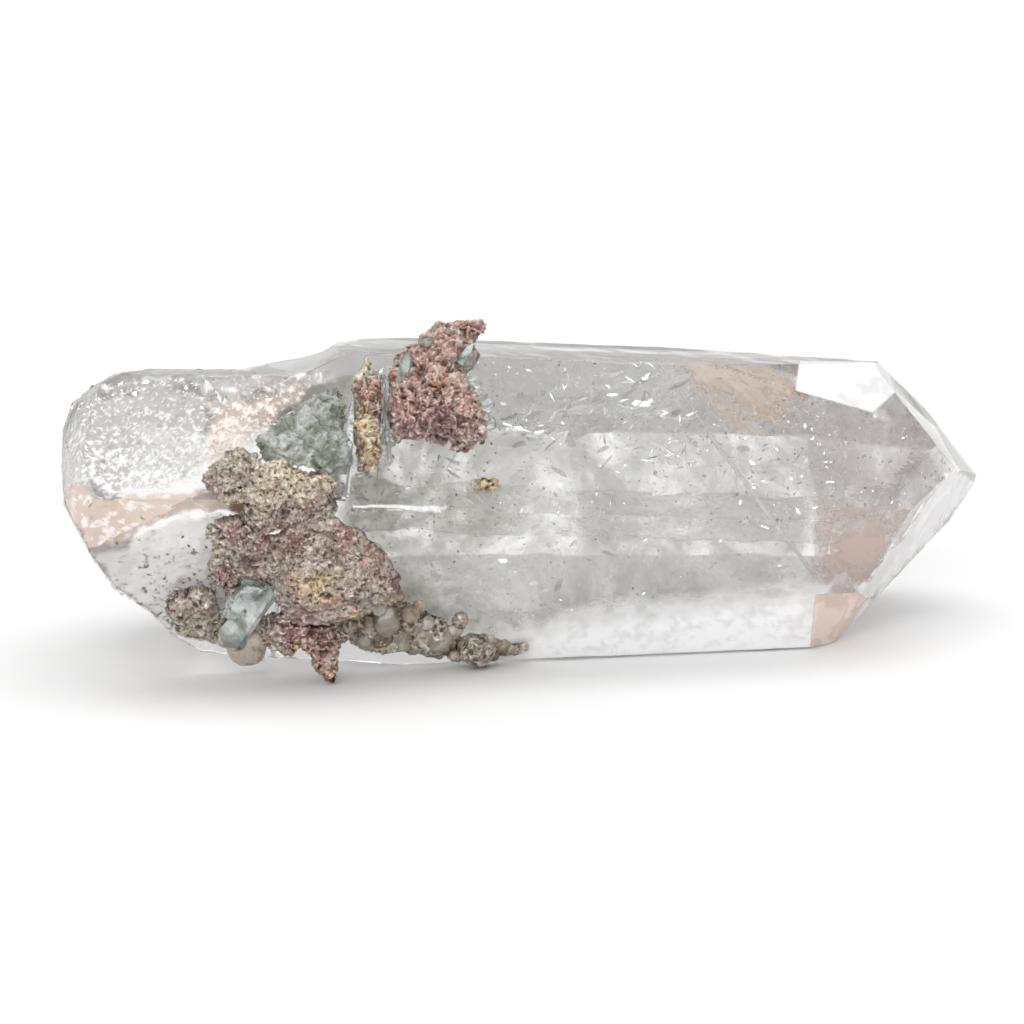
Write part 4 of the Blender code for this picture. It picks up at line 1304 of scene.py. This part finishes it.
strewn("flecks.green", green_fleck, [(346, 400), (400, 440), (500, 440), (500, 560), (470, 620), (400, 600),
                                     (345, 540)], 260, (0.04, 0.16), (0.4, 3.0), 0.5, 96, 1.4)
strewn("flecks.lobe", dark_speck, [(110, 540), (200, 520), (232, 560), (228, 640), (150, 610)], 300, (0.05, 0.22),
       (0.0, 1.0), 0.5, 97, 1.3, None, behind_skin)
strewn("flecks.base", mirror_flake, [(70, 400), (115, 382), (240, 380), (330, 372), (250, 440), (200, 480),
                                     (100, 492)], 500, (0.06, 0.30), (-0.05, 0.8), 0.08, 98, 1.8, GLEAM, behind_skin)
strewn("flecks.rust", peach_fleck, [(826, 518), (904, 518), (908, 530), (880, 560), (857, 586), (828, 570)], 220,
       (0.04, 0.14), (0.4, 2.0), 0.3, 99, 1.6)


# %% Broken plates
def plates(name, material, seats, thin=0.03, seed=0):
    """Flat cracks: each seat is (u, v, depth, half length, half width, turn in the picture, tip to the side).
    A plate is an uneven six-cornered ring whose radius changes from corner to corner, given a thickness. One
    that would stand out of the crystal is left out."""
    rng = np.random.default_rng(seed)
    points, faces = [], []
    for u, v, deep, long_, wide, turn, tip in seats:
        centre, _ = seen_inside(np.array([float(u)]), np.array([float(v)]), np.array([float(deep)]))
        a, t = np.radians(turn), np.radians(tip)
        along = VIEW_RIGHT * np.cos(a) + VIEW_UP * np.sin(a)
        side = (VIEW_UP * np.cos(a) - VIEW_RIGHT * np.sin(a)) * np.cos(t) + BACKWARDS * np.sin(t)
        normal = np.cross(along, side)
        corner = (np.arange(6) + rng.uniform(-0.3, 0.3, 6)) * np.pi / 3
        radius = rng.uniform(0.6, 1.0, 6)
        ring = (centre + along * (np.cos(corner) * radius * long_)[:, None]
                + side * (np.sin(corner) * radius * wide)[:, None])
        both = np.concatenate([ring + normal * thin / 2, ring - normal * thin / 2])
        if (planes[:, 3] - both @ planes[:, :3].T).min() < 0.02:
            continue
        k = 12 * len(points)
        points.append(both)
        faces += [[k + j for j in range(6)], [k + 11 - j for j in range(6)]]
        faces += [[k + (j + 1) % 6, k + j, k + 6 + j, k + 6 + (j + 1) % 6] for j in range(6)]
    mesh = fill_mesh(name, np.concatenate(points), faces)
    return show_piece(name, mesh, material, smooth=False)


crack_mirror = Finish("crack_mirror", Base_Color=(0.96, 0.96, 0.95, 1), Roughness=0.14, Metallic=0.9, Alpha=0.5).material
rng = np.random.default_rng(5)
fracture = [(590, 424, 1.2, 3.4, 1.9, 12, -36), (600, 412, 2.0, 2.8, 1.5, 20, -44), (577, 432, 1.0, 2.0, 1.2, 35, -30)]
for _ in range(110):
    along = rng.uniform(0, 1)
    fracture.append((520 + 190 * along + rng.normal(0, 12), 428 - 44 * along + rng.normal(0, 17),
                     rng.uniform(0.5, 6.0), rng.uniform(0.4, 2.2), rng.uniform(0.06, 0.6), rng.normal(24, 22),
                     rng.uniform(-58, -20)))
plates("cracks.fan", crack_mirror, fracture, seed=6)
scattered = [(rng.uniform(360, 800), rng.uniform(440, 640), rng.uniform(0.5, 7.0), rng.uniform(0.3, 1.5),
              rng.uniform(0.12, 0.6), rng.uniform(-60, 80), rng.uniform(-62, -15)) for _ in range(70)]
plates("cracks.scattered", crack_mirror, scattered, seed=7)
tip_cracks = [(rng.uniform(868, 945), 0, 0, rng.uniform(0.4, 1.6), rng.uniform(0.15, 0.5), rng.uniform(30, 70),
               rng.uniform(-60, -15)) for _ in range(26)]
tip_cracks = [(u, 1040 - 0.60 * u + rng.uniform(-28, 22), rng.uniform(0.5, 2.5), *rest) for u, _, _, *rest in tip_cracks]
plates("cracks.tip", crack_mirror, tip_cracks, seed=8)
